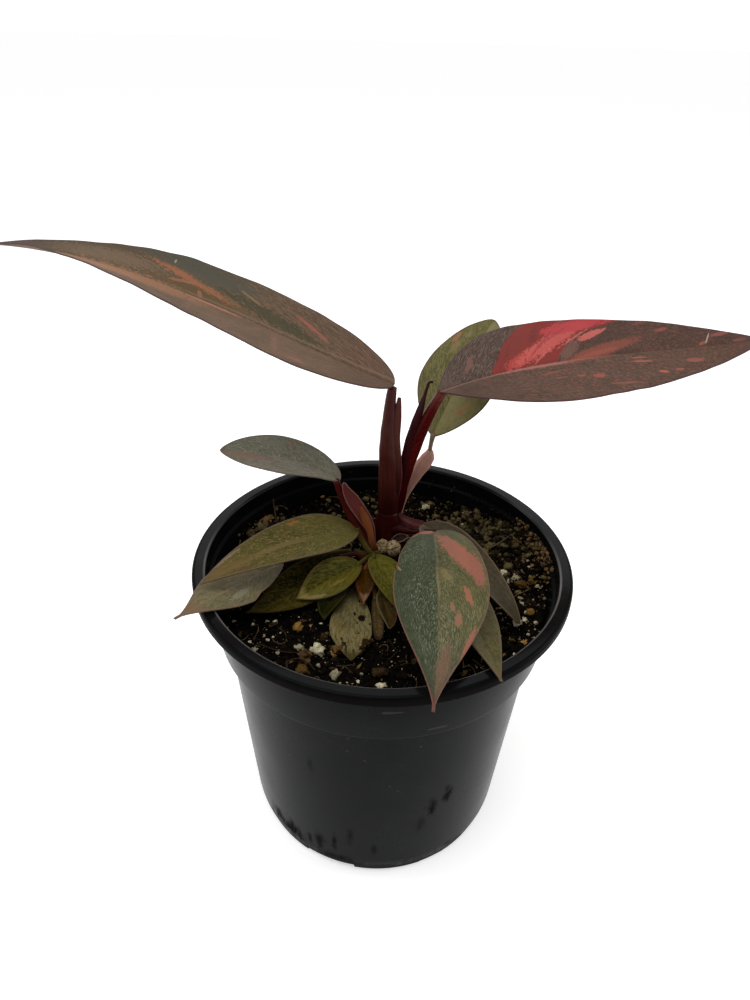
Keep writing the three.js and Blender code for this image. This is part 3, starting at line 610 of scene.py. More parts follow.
def put(name: str, data: bpy.types.ID) -> bpy.types.Object:
    """Puts an object with that data into the scene."""
    made = bpy.data.objects.new(name, data)
    bpy.context.scene.collection.objects.link(made)
    return made


def solid(
    name: str, points: Sequence[Sequence[float]], faces: Sequence[Sequence[int]]
) -> bpy.types.Object:
    """Makes an object from points in metres and the faces between them."""
    mesh = bpy.data.meshes.new(name)
    mesh.from_pydata(points, [], faces)
    return put(name, mesh)


class Form:
    """Points, faces and surface coordinates of one piece while it is made."""

    def __init__(self) -> None:
        """Starts with nothing."""
        self.points: list[np.ndarray] = []
        self.leaf: list[np.ndarray] = []
        self.part: list[np.ndarray] = []
        self.faces: list[tuple[int, ...]] = []
        self.slots: list[int] = []
        self.count = 0

    def add(
        self,
        points: np.ndarray,
        faces: Iterable[Sequence[int]],
        slot: int = 0,
        leaf: Optional[np.ndarray] = None,
        part: Optional[np.ndarray] = None,
    ) -> None:
        """Adds a closed shape.

        Args:
            points: Its points, one row each.
            faces: Its faces, as numbers of its own points.
            slot: Which of the piece's finishes it has.
            leaf: Coordinates along and across, one row for each point.
            part: The same coordinates as shares of the whole.
        """
        blank = np.zeros((len(points), 2))
        self.points.append(points)
        self.leaf.append(blank if leaf is None else leaf / LEAF_MAP_SCALE)
        self.part.append(blank if part is None else part)
        for face in faces:
            self.faces.append(tuple(int(i) + self.count for i in face))
            self.slots.append(slot)
        self.count += len(points)

    def piece(
        self,
        name: str,
        finishes: Sequence[bpy.types.Material],
        slot: str,
        stands_for: Sequence[str] = (),
        flat: bool = False,
    ) -> bpy.types.Object:
        """Makes the Blender object, in metres, and fixes it to the frame.

        Args:
            name: The piece's name.
            finishes: Its materials, in the order of their slots.
            slot: Not used.
            stands_for: The solids that it replaces.
            flat: Whether its faces are shaded flat.

        Returns:
            The object.
        """
        made = solid(name, (np.concatenate(self.points) * MM).tolist(), self.faces)
        mesh = made.data
        corners = np.empty(len(mesh.loops), dtype=np.int64)
        mesh.loops.foreach_get("vertex_index", corners)
        for title, rows in ((LEAF_MAP, self.leaf), (PART_MAP, self.part)):
            layer = mesh.uv_layers.new(name=title)
            layer.data.foreach_set("uv", np.concatenate(rows)[corners].astype(np.float32).ravel())
        for finish in finishes:
            mesh.materials.append(finish)
        mesh.polygons.foreach_set("material_index", self.slots)
        mesh.polygons.foreach_set("use_smooth", [not flat] * len(mesh.polygons))
        mesh.validate()
        mesh.update()
        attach(made, BODY)
        if stands_for:
            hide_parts(*stands_for)
        log.info("%s: %d faces", name, len(mesh.polygons))
        return made


# Least half widths of a blade at its two ends.
BASE_HALF_WIDTH = 0.7
TIP_HALF_WIDTH = 0.35
# Where its edge and its ends start to thin out, and over how much, as shares of the half width
# and of the length.
EDGE_FROM = 0.965
EDGE_ROUND = 0.035
END_FROM = 0.492
END_ROUND = 0.008
# Pleats along the side veins, the groove over the midrib and the ridge under it.
PLEAT_HEIGHT = 0.05
PLEAT_SPACING = 3.6
GROOVE_DEPTH = 0.2
GROOVE_WIDTH = 0.5
RIDGE_HEIGHT = 0.42
RIDGE_WIDTH = 0.75
MIDRIB_STEPS = 400


@dataclass(frozen=True)
class Blade:
    """A leaf blade: a thin folded sheet on a curved midrib.

    The midrib starts at a point, heads some degrees round from +X and climbs; arch and swing
    are the changes of climb and heading along it, and roll tips the blade about it. Each row of
    fuller is a share of the length, with what it adds to the left and right half widths and to
    the lift of the two edges there; ease is how far those rows are averaged along the blade. A
    nick is a dent in an edge: its place along the blade, its side, depth and length.
    """

    at: Point
    heading: float
    climb: float
    length: float
    half: float
    arch: Pair = (0.0, 0.0)
    swing: Pair = (0.0, 0.0)
    roll: Pair = (0.0, 0.0)
    fold: float = 9.0
    cup: float = 0.0
    widest: float = 0.42
    blunt: float = 0.6
    point: float = 1.0
    skew: float = 0.0
    wave: float = 0.0
    veins: Pair = (1.0, 0.9)
    ripple: float = 0.3
    thick: float = 0.55
    rows: int = 96
    cols: int = 36
    seed: float = 0.0
    fuller: tuple[tuple[float, float, float, float, float], ...] = ()
    ease: float = 0.0
    nicks: tuple[tuple[float, Side, float, float], ...] = ()

    def half_width(self, t: np.ndarray) -> np.ndarray:
        """Half of the width at shares t of the length."""
        rising = np.sin(np.pi / 2 * np.minimum(1.0, t / self.widest)) ** self.blunt
        beyond = np.clip((t - self.widest) / (1 - self.widest), 0.0, 1.0)
        falling = np.maximum(0.0, np.cos(np.pi / 2 * beyond)) ** self.point
        least = np.where(t < self.widest, BASE_HALF_WIDTH, TIP_HALF_WIDTH)
        return np.maximum(least, self.half * np.where(t < self.widest, rising, falling))

    def line(self, t: np.ndarray) -> tuple[np.ndarray, np.ndarray, np.ndarray]:
        """The midrib's points, with the directions to the right side and upwards.

        Args:
            t: Shares of the length.

        Returns:
            Points, sides and ups, one row for each share.
        """

        def course(at: np.ndarray) -> tuple[np.ndarray, np.ndarray]:
            """Headings in radians and unit directions at shares of the length."""
            turn = np.radians(self.heading + self.swing[0] * at + self.swing[1] * at * at)
            lift = np.radians(self.climb + self.arch[0] * at + self.arch[1] * at * at)
            level = np.cos(lift)
            return turn, np.stack([level * np.cos(turn), level * np.sin(turn), np.sin(lift)], 1)

        strides = course((np.arange(MIDRIB_STEPS) + 0.5) / MIDRIB_STEPS)[1] * (self.length / MIDRIB_STEPS)
        path = np.vstack([np.zeros(3), np.cumsum(strides, 0)]) + self.at
        knots = np.linspace(0, 1, MIDRIB_STEPS + 1)
        points = np.stack([np.interp(t, knots, path[:, k]) for k in range(3)], 1)
        turn, along = course(t)
        level = np.stack([np.sin(turn), -np.cos(turn), np.zeros_like(turn)], 1)
        upright = np.cross(level, along)
        roll = np.radians(self.roll[0] + self.roll[1] * t)[:, None]
        side = level * np.cos(roll) + upright * np.sin(roll)
        return points, side, upright * np.cos(roll) - level * np.sin(roll)

    def surface(self, t: np.ndarray, u: np.ndarray) -> tuple[np.ndarray, ...]:
        """The blade's middle surface on a grid.

        Args:
            t: Shares of the length.
            u: Shares of the half width, below zero on the left.

        Returns:
            Its points, the directions upwards, millimetres along and across, and the half widths.
        """
        points, side, up = self.line(t)
        width = self.half_width(t)
        gain = np.zeros((4, len(t)))
        if self.fuller:
            table = np.array(self.fuller)
            reach = self.ease * np.minimum(1.0, 6 * np.minimum(t, 1 - t))
            stops = [t + reach * step for step in np.linspace(-1, 1, 7)]
            rows = [[np.interp(stop, table[:, 0], table[:, k]) for stop in stops] for k in range(1, 5)]
            gain = np.array([np.mean(row, 0) for row in rows])
        for place, where, depth, size in self.nicks:
            dent = depth * np.exp(-(((t * self.length - place) / size) ** 2))
            gain[1 if where is Side.RIGHT else 0] -= dent
        left = np.maximum(TIP_HALF_WIDTH, width * (1 - self.skew) + gain[0])
        right = np.maximum(TIP_HALF_WIDTH, width * (1 + self.skew) + gain[1])
        spread = np.where(u[None, :] > 0, right[:, None], left[:, None])
        curl = np.where(u[None, :] > 0, gain[3][:, None], gain[2][:, None])
        fold = math.radians(self.fold)
        reach = np.abs(u)[None, :]
        out = u[None, :] * math.cos(fold) * spread
        lift = (reach * math.sin(fold) + self.cup * reach**2) * spread + curl * reach**2
        tt = t[:, None]
        ripple = np.sin(tt * np.pi * 5 + np.where(u[None, :] > 0, 0.0, 1.9))
        lift = lift + self.wave * ripple * reach**2 * np.sin(np.pi * tt)
        mm_along = np.broadcast_to(tt * self.length, out.shape)
        mm_across = u[None, :] * spread
        swell = self.noise_field(mm_along, mm_across)
        lift = lift + self.ripple * swell * reach**1.5 * np.sin(np.pi * np.clip(tt, 0, 1)) ** 0.5
        sheet = points[:, None, :] + side[:, None, :] * out[..., None] + up[:, None, :] * lift[..., None]
        return sheet, up, mm_along, mm_across, spread

    def sheet(self, t: np.ndarray, u: np.ndarray) -> np.ndarray:
        """Places of the blade at shares of its length and of its half width."""
        return self.surface(t, u)[0]

    def grow(self, form: Form, top: int = 0, under: int = 1) -> None:
        """Adds the blade to a piece.

        Args:
            form: The piece.
            top: The slot of the upper face's finish.
            under: The slot of the under face's finish.
        """
        rows = self.rows
        cols = self.cols
        plain = np.linspace(0, 1, rows + 1)
        t = plain + ((1 - np.cos(np.pi * plain)) / 2 - plain) * 0.6
        x = np.linspace(-1, 1, cols + 1)
        crowd = 0.8
        u = np.sign(x) * (np.abs(x) - crowd / math.tau * np.sin(math.tau * np.abs(x)))
        sheet, up, mm_along, mm_across, spread = self.surface(t, u)
        reach = np.abs(u)[None, :]
        tt = t[:, None]
        vein = mm_along - self.half * (self.veins[0] * reach + self.veins[1] * reach**2)
        body = np.sin(np.pi * tt) ** 0.7
        pleat = PLEAT_HEIGHT * np.cos(vein * math.tau / PLEAT_SPACING) * (1 - reach) * body
        pleat = pleat * np.minimum(1.0, spread / 8.0)
        ahead = np.gradient(sheet, axis=0)
        across = np.gradient(sheet, axis=1)
        normal = np.cross(across, ahead)
        normal /= np.linalg.norm(normal, axis=2, keepdims=True) + 1e-12
        flip = np.sign(np.sum(normal * up[:, None, :], axis=2))
        normal *= np.where(flip == 0, 1.0, flip)[..., None]
        rim = np.sqrt(1 - np.clip((reach - EDGE_FROM) / EDGE_ROUND, 0, 1) ** 2)
        ends = np.sqrt(1 - np.clip((np.abs(tt - 0.5) - END_FROM) / END_ROUND, 0, 1) ** 2)
        slim = np.minimum(1.0, 0.55 + spread / 8.0)
        thick = self.thick * slim * (0.72 + 0.28 * np.exp(-np.abs(mm_across) / 4.0)) * rim * ends
        groove = GROOVE_DEPTH * np.exp(-((mm_across / GROOVE_WIDTH) ** 2)) * (1 - 0.75 * tt) * ends
        ridge = RIDGE_HEIGHT * slim * np.exp(-((mm_across / RIDGE_WIDTH) ** 2)) * (1 - 0.85 * tt) * ends
        over = sheet + normal * (thick / 2 + pleat * rim * ends - groove)[..., None]
        beneath = sheet - normal * (thick / 2 - pleat * rim * ends + ridge)[..., None]
        numbers_top = np.arange((rows + 1) * (cols + 1)).reshape(rows + 1, cols + 1)
        inner = (slice(1, rows), slice(1, cols))
        hidden = np.arange((rows - 1) * (cols - 1)).reshape(rows - 1, cols - 1)
        numbers_under = numbers_top.copy()
        numbers_under[inner] = numbers_top.size + hidden
        over[0], over[-1], over[:, 0], over[:, -1] = sheet[0], sheet[-1], sheet[:, 0], sheet[:, -1]
        leaf = np.stack([mm_along, mm_across], 2)
        part = np.stack(np.broadcast_arrays(tt, u[None, :]), 2)
        all_points = np.vstack([over.reshape(-1, 3), beneath[inner].reshape(-1, 3)])
        all_leaf = np.vstack([leaf.reshape(-1, 2), leaf[inner].reshape(-1, 2)])
        all_part = np.vstack([part.reshape(-1, 2), part[inner].reshape(-1, 2)])
        upward = []
        downward = []
        for i in range(rows):
            for j in range(cols):
                a, b = numbers_top[i, j], numbers_top[i, j + 1]
                c, d = numbers_top[i + 1, j + 1], numbers_top[i + 1, j]
                upward.append((a, b, c, d))
                a, b = numbers_under[i, j], numbers_under[i, j + 1]
                c, d = numbers_under[i + 1, j + 1], numbers_under[i + 1, j]
                downward.append((a, d, c, b))
        start = len(form.faces)
        form.add(all_points, upward + downward, top, all_leaf, all_part)
        for k in range(start + len(upward), len(form.faces)):
            form.slots[k] = under

    def noise_field(self, along: np.ndarray, across: np.ndarray) -> np.ndarray:
        """Smooth random heights over the blade, about -1 to 1."""
        flat_s = along.ravel()
        flat_w = np.broadcast_to(across, along.shape).ravel()
        values = [
            noise.noise(Vector((s / 17.0, w / 11.0, self.seed + 5.0)))
            + 0.45 * noise.noise(Vector((s / 6.5, w / 5.0, self.seed + 9.0)))
            for s, w in zip(flat_s, flat_w)
        ]
        return 1.6 * np.array(values).reshape(along.shape)


class Section(Enum):
    """The cross-section of a stalk."""

    ROUND = "round"
    CHANNELLED = "channelled"
    FLAP = "flap"


def centripetal(knots: np.ndarray, t: float) -> tuple[np.ndarray, np.ndarray]:
    """Point and direction on a smooth curve through knots.

    Args:
        knots: The points that it passes through.
        t: The share of the way from the first knot to the last.

    Returns:
        The point and the unit direction.
    """
    spans = len(knots) - 1
    at = min(max(t, 0.0), 1.0) * spans
    k = min(spans - 1, int(at))
    x = at - k
    p1, p2 = knots[k], knots[k + 1]
    p0 = knots[k - 1] if k > 0 else 2 * p1 - p2
    p3 = knots[k + 2] if k + 2 <= spans else 2 * p2 - p1
    legs = ((p0, p1), (p1, p2), (p2, p3))
    d0, d1, d2 = (max(1e-4, math.sqrt(float(np.linalg.norm(b - a)))) for a, b in legs)
    m1 = ((p1 - p0) / d0 - (p2 - p0) / (d0 + d1) + (p2 - p1) / d1) * d1
    m2 = ((p2 - p1) / d1 - (p3 - p1) / (d1 + d2) + (p3 - p2) / d2) * d1
    c2 = 3 * (p2 - p1) - 2 * m1 - m2
    c3 = 2 * (p1 - p2) + m1 + m2
    place = p1 + m1 * x + c2 * x * x + c3 * x**3
    way = m1 + 2 * c2 * x + 3 * c3 * x * x
    return place, way / (np.linalg.norm(way) + 1e-12)


# A stalk's channel: how high the lips beside it stand, as a share of the half size, then how far
# they are from its middle and how wide they and it are, in degrees.
CHANNEL_LIP = 0.05
LIP_AT = 45
LIP_WIDTH = 16
CHANNEL_WIDTH = 24
# A flap, in shares of its half depth: how thick its edges are, what its middle has more, and the
# level that it curls about.
FLAP_EDGE = 0.42
FLAP_SWELL = 0.58
FLAP_LEVEL = 0.35
# How far the ends of a stalk bulge, as a share of the half depth.
END_BULGE = 0.45


@dataclass(frozen=True)
class Stalk:
    """A stalk, sheath or bract: a section swept along knots of x, y, z, width and depth."""

    knots: tuple[tuple[float, float, float, float, float], ...]
    facing: Point = (1.0, 0.0, 0.0)
    section: Section = Section.ROUND
    rings: int = 48
    sides: int = 24
    groove_at: float = 270.0
    groove: float = 0.25
    curl: float = 0.0
    reach_start: float = 0.0
    reach_end: float = 0.0
    uneven: float = 0.05
    seed: float = 0.0

    def outline(self, angle: float) -> Pair:
        """The section's point at an angle, for a half width and half depth of 1."""
        x, y = math.cos(angle), math.sin(angle)
        if self.section is Section.CHANNELLED:
            off = (math.degrees(angle) - self.groove_at + 180) % 360 - 180
            lips = CHANNEL_LIP * math.exp(-(((abs(off) - LIP_AT) / LIP_WIDTH) ** 2))
            r = 1 - self.groove * math.exp(-((off / CHANNEL_WIDTH) ** 2)) + lips
            return x * r, y * r
        if self.section is Section.FLAP:
            swell = FLAP_EDGE + FLAP_SWELL * (1 - x * x)
            return x, y * swell + self.curl * (x * x - FLAP_LEVEL)
        return x, y

    def breadth(self, way: np.ndarray) -> np.ndarray:
        """The unit direction of its width where it runs that way."""
        wide = np.array(self.facing) - way * float(np.dot(self.facing, way))
        return wide / np.linalg.norm(wide)

    def edge(self, side: Side, thick: float) -> "Stalk":
        """A thin round bead along one edge of a flap.

        Args:
            side: The edge.
            thick: The bead's thickness.

        Returns:
            The bead.
        """
        spine = np.array(self.knots)[:, :3]
        last = len(spine) - 1
        made = []
        for k, (_, _, _, width, depth) in enumerate(self.knots):
            centre, way = centripetal(spine, k / last)
            wide = self.breadth(way)
            lift = self.curl * (1 - FLAP_LEVEL) / 2 * depth
            out = wide * (side.value * width * 0.49) + np.cross(way, wide) * lift
            made.append((*(centre + out).tolist(), thick, thick))
        return Stalk(tuple(made), (0.2, 0.3, 0.9), rings=self.rings, sides=8, uneven=0.15)

    def grow(self, form: Form, slot: int = 0) -> None:
        """Adds the stalk to a piece.

        Args:
            form: The piece.
            slot: The slot of its finish.
        """
        knots = np.array(self.knots)
        spine = knots[:, :3]
        last = len(knots) - 1
        angles = [math.tau * k / self.sides for k in range(self.sides)]
        shape = [self.outline(a) for a in angles]
        points: list[np.ndarray] = []
        leaf: list[Pair] = []
        part: list[Pair] = []
        run = 0.0
        before = None
        stops = [i / self.rings for i in range(self.rings + 1)]
        for i, t in enumerate(stops):
            centre, way = centripetal(spine, t)
            if i == 0:
                centre = centre - way * self.reach_start
            if i == self.rings:
                centre = centre + way * self.reach_end
            knot = min(last - 1, int(t * last))
            blend = t * last - knot
            blend = blend * blend * (3 - 2 * blend) * 0.5 + blend * 0.5
            width, depth = knots[knot, 3:] + (knots[knot + 1, 3:] - knots[knot, 3:]) * blend
            wide = self.breadth(way)
            deep = np.cross(way, wide)
            if before is not None:
                run += float(np.linalg.norm(centre - before))
            before = centre
            for a, (x, y) in zip(angles, shape):
                wobble = noise.noise(Vector((math.cos(a) * 1.2, math.sin(a) * 1.2, run / 4.0 + self.seed)))
                grow = 1 + self.uneven * wobble
                points.append(centre + wide * (x * width / 2 * grow) + deep * (y * depth / 2 * grow))
                leaf.append((run, math.cos(a)))
                part.append((t, math.sin(a)))
        faces: list[tuple[int, ...]] = []
        for i in range(self.rings):
            for k in range(self.sides):
                n = (k + 1) % self.sides
                a, b = i * self.sides, (i + 1) * self.sides
                faces.append((a + k, a + n, b + n, b + k))
        for ring, way_out in ((0, -1), (self.rings, 1)):
            t = stops[ring]
            centre, way = centripetal(spine, t)
            shift = self.reach_start if ring == 0 else self.reach_end
            radius = knots[0 if ring == 0 else last, 4] / 2
            centre = centre + way * way_out * (shift + radius * END_BULGE)
            points.append(centre)
            leaf.append((run if ring else 0.0, 0.0))
            part.append((t, 0.0))
            hub = len(points) - 1
            start = ring * self.sides
            for k in range(self.sides):
                n = (k + 1) % self.sides
                faces.append((hub, start + n, start + k) if ring == 0 else (hub, start + k, start + n))
        form.add(np.array(points), faces, slot, np.array(leaf), np.array(part))


def rounded(profile: Sequence[tuple[float, float, float]], steps: int = 5) -> list[Pair]:
    """Rounds the corners of a profile.

    Args:
        profile: Radius, height and corner radius of each point.
        steps: Points on each rounded corner.

    Returns:
        Radius and height of each point of the rounded profile.
    """
    made: list[Pair] = []
    for i, (r, z, corner) in enumerate(profile):
        here = np.array([r, z])
        if corner == 0 or i in (0, len(profile) - 1):
            made.append((r, z))
            continue
        back = np.array(profile[i - 1][:2]) - here
        on = np.array(profile[i + 1][:2]) - here
        reach = min(corner, 0.49 * float(np.linalg.norm(back)), 0.49 * float(np.linalg.norm(on)))
        first = here + back / np.linalg.norm(back) * reach
        second = here + on / np.linalg.norm(on) * reach
        for k in range(steps + 1):
            x = k / steps
            spot = first * (1 - x) ** 2 + here * 2 * x * (1 - x) + second * x * x
            made.append((float(spot[0]), float(spot[1])))
    return made


def turned(name: str, profile: Sequence[Pair], segments: int) -> bpy.types.Object:
    """Makes a solid of revolution about Z, in metres.

    Args:
        name: The object's name.
        profile: Radius and height, from the axis round to the axis.
        segments: Steps round the axis.

    Returns:
        The object.
    """
    points: list[Point] = []
    rings: list[list[int]] = []
    for radius, height in profile:
        if radius == 0:
            rings.append([len(points)])
            points.append((0.0, 0.0, height * MM))
            continue
        start = len(points)
        for k in range(segments):
            a = math.tau * k / segments
            points.append((radius * MM * math.cos(a), radius * MM * math.sin(a), height * MM))
        rings.append(list(range(start, start + segments)))
    faces: list[tuple[int, ...]] = []
    for lower, upper in zip(rings, rings[1:]):
        for k in range(segments):
            n = (k + 1) % segments
            if len(lower) == 1:
                faces.append((lower[0], upper[n], upper[k]))
            elif len(upper) == 1:
                faces.append((lower[k], lower[n], upper[0]))
            else:
                faces.append((lower[k], lower[n], upper[n], upper[k]))
    return solid(name, points, faces)


def block(
    name: str, start: float, end: float, width: float, low: float, high: float, angle: float
) -> bpy.types.Object:
    """Makes a straight block that runs outwards from the axis.

    Args:
        name: The object's name.
        start: Distance from the axis to its near end.
        end: Distance from the axis to its far end.
        width: Its width.
        low: Height of its underside.
        high: Height of its top.
        angle: Its direction round from +X.

    Returns:
        The object, in metres.
    """
    turn = Matrix.Rotation(math.radians(angle), 4, "Z")
    corners = []
    for x in (start, end):
        for y in (-width / 2, width / 2):
            for z in (low, high):
                corners.append(tuple(turn @ Vector((x * MM, y * MM, z * MM))))
    faces = [(0, 1, 3, 2), (4, 6, 7, 5), (0, 4, 5, 1), (2, 3, 7, 6), (0, 2, 6, 4), (1, 5, 7, 3)]
    return solid(name, corners, faces)


def take_away(target: bpy.types.Object, cutters: Sequence[bpy.types.Object]) -> None:
    """Cuts shapes out of a target and removes them.

    Args:
        target: The object that is cut.
        cutters: The shapes cut out of it, one after another.
    """
    for cutter in cutters:
        change = target.modifiers.new("cut", "BOOLEAN")
        change.operation = "DIFFERENCE"
        change.solver = "EXACT"
        change.object = cutter
        graph = bpy.context.evaluated_depsgraph_get()
        cut = bpy.data.meshes.new_from_object(target.evaluated_get(graph))
        target.modifiers.clear()
        target.data = cut
        bpy.data.objects.remove(cutter, do_unlink=True)


@dataclass(frozen=True)
class Smudge:
    """A mark on the outside of the pot, at an angle round it and a height."""

    angle: float
    height: float
    wide: float
    tall: float
    strength: float = 0.8


@dataclass(frozen=True)
class BlackPlastic:
    """Satin black plastic with scuffs, dust and a few dried splashes of soil, and painted highlights on the
    rim's inner edge and the ledge.
    """

    colour: str = "#08090a"
    worn: str = "#131415"
    dust: str = "#4a423a"
    splash: str = "#0d0907"
    scuff: str = "#33322f"
    roughness: float = 0.25
    shine: float = 0.025
    rim_coat: float = 0.4
    # Colour of the painted highlight along the rim's inner top edge.
    edge: str = "#86827f"
    # Pale dust on the ledge, brightened into a painted highlight.
    ledge_dust_and_highlight: str = "#a09c9a"
    brim_side: Pair = (52.6, 53.2)
    rim_inside: Pair = (49.6, 50.4)
    rim_outside: Pair = (52.8, 53.3)
    # Radii of the rim's inner edge, and the front span where its painted highlight lies.
    bore_edge: Pair = (50.7, 51.0)
    bore_lit: Pair = (-20.0, 20.0)
    # Radii and back span of the ledge's dust and painted highlight.
    shelf_edge: Pair = (50.4, 50.2)
    shelf_back: Pair = (22.0, 34.0)
    splashes: tuple[Smudge, ...] = (
        Smudge(-66.7, 33, 1.9, 4), Smudge(-60.7, 36.9, 1.6, 4.6), Smudge(-112.8, 12.7, 1.9, 4),
        Smudge(-106, 15, 0.9, 4.6, 0.7), Smudge(-99.1, 20, 1, 4.2, 0.6), Smudge(-124, 8.6, 1.6, 2.4),
        Smudge(-118, 10.6, 1, 3.6), Smudge(-88.9, 13.7, 1.4, 3, 0.5), Smudge(-113.6, 52.2, 0.9, 3.6, 0.4),
        Smudge(-128, 9, 5, 5, 0.9), Smudge(-136, 10, 4, 4), Smudge(-71, 26, 1.6, 4, 0.4),
    )
    scuffs: tuple[Smudge, ...] = (Smudge(-85.8, 84.5, 2.6, 0.4, 0.7), Smudge(-71.8, 75.8, 2.6, 0.4, 0.6))

    def material(self) -> bpy.types.Material:
        """The material of the pot."""
        graph = material_graph("pot_plastic")
        here = graph.here()
        x, y, z = graph.split(here, 1 / MM)
        turn = graph.math("ARCTAN2", y, x)
        cloud = graph.speckle(here, 60.0, 3.0, 0.6)
        grain = graph.speckle(here, 2600.0, 2.0, 0.6)
        rub = graph.speckle(graph.place(turn * 9.0, z / 3.0, 2.0), 1.0, 4.0, 0.7, 0.4)
        drag = graph.speckle(graph.place(turn * 60.0, z / 14.0, 5.0), 1.0, 3.0, 0.7)
        colour = graph.mix(cloud.rise(0.4, 0.7) * 0.5, self.colour, self.worn)
        scuff = rub.rise(0.66, 0.74) * drag.rise(0.5, 0.62)
        colour = colour.over(scuff * 0.35, self.worn)
        spots, own = graph.cells(here, 420.0)
        dusty = spots.fall(0.08, 0.15) * cloud.rise(0.57, 0.64) * own.rise(0.5, 0.6)
        colour = colour.over(dusty * 0.6, self.dust)
        rough = self.roughness + (cloud - 0.5) * 0.16 + scuff * 0.2 + (grain - 0.5) * 0.08
        ragged = (graph.speckle(graph.place(turn * 24.0, z / 5.0, 1.0), 1.0, 3.0, 0.6) - 0.5) * 2.6
        colour = colour.over(self.spread_of(self.scuffs, turn, z, ragged, 0.2), self.scuff)
        foot = (z + (cloud - 0.5) * 14.0 + ragged * 2.0).fall(3.0, 8.0) * 0.75
        radius = (x * x + y * y) ** 0.5
        side = z.rise(RIM_UNDER - 0.2, RIM_UNDER + 0.1) * z.fall(RIM_TOP - 0.7, RIM_TOP - 0.3)
        brim = side * radius.rise(*self.brim_side)
        matt = self.spread_of(self.splashes, turn, z, ragged, 0.9).most(foot).most(brim * 0.6)
        rim = z.rise(RIM_TOP - 0.8, RIM_TOP - 0.3) * radius.rise(*self.rim_inside)
        rim = rim * radius.fall(*self.rim_outside)
        # Painted highlight: the rim's inner top edge, on the front half, is lightened with the edge colour.
        inner = z.rise(RIM_TOP - 0.7, RIM_TOP - 0.3) * radius.fall(*self.bore_edge)
        inner = inner * y.fall(*self.bore_lit)
        colour = colour.over(inner * (0.6 + cloud * 0.6) * 0.6, self.edge)
        # Pale dust along the back of the ledge, brightened into a painted highlight line.
        shelf = z.rise(LEDGE - 1.1, LEDGE - 0.5) * z.fall(LEDGE + 0.3, LEDGE + 0.45)
        shelf = shelf * radius.fall(*self.shelf_edge) * y.rise(*self.shelf_back)
        colour = colour.over(shelf * (0.35 + cloud), self.ledge_dust_and_highlight)
        relief = grain * 0.5 + rub * 0.5
        glaze = {"Coat Weight": rim * self.rim_coat, "Coat Roughness": 0.16}
        return graph.finish(colour, rough, self.shine, relief, 0.02, glaze, matt, self.splash)

    def spread_of(
        self, marks: Sequence[Smudge], turn: Value, z: Value, ragged: Value, soft: float
    ) -> Value:
        """How much of some marks shows at each place.

        Args:
            marks: The marks.
            turn: The angle round the pot, in radians.
            z: The height.
            ragged: Noise that frays their edges.
            soft: How far their edges fade.

        Returns:
            Their share, 0 to 1.
        """
        total: Number = 0.0
        for mark in marks:
            aside = (turn - math.radians(mark.angle)) * (SIDE_RADIUS / mark.wide)
            above = (z - mark.height) / mark.tall
            reach = (aside * aside + above * above) ** 0.5 + ragged
            cover = reach.fall(1.0 - soft, 1.0 + soft * 0.4 + 0.1) * mark.strength
            total = cover.most(total)
        return total


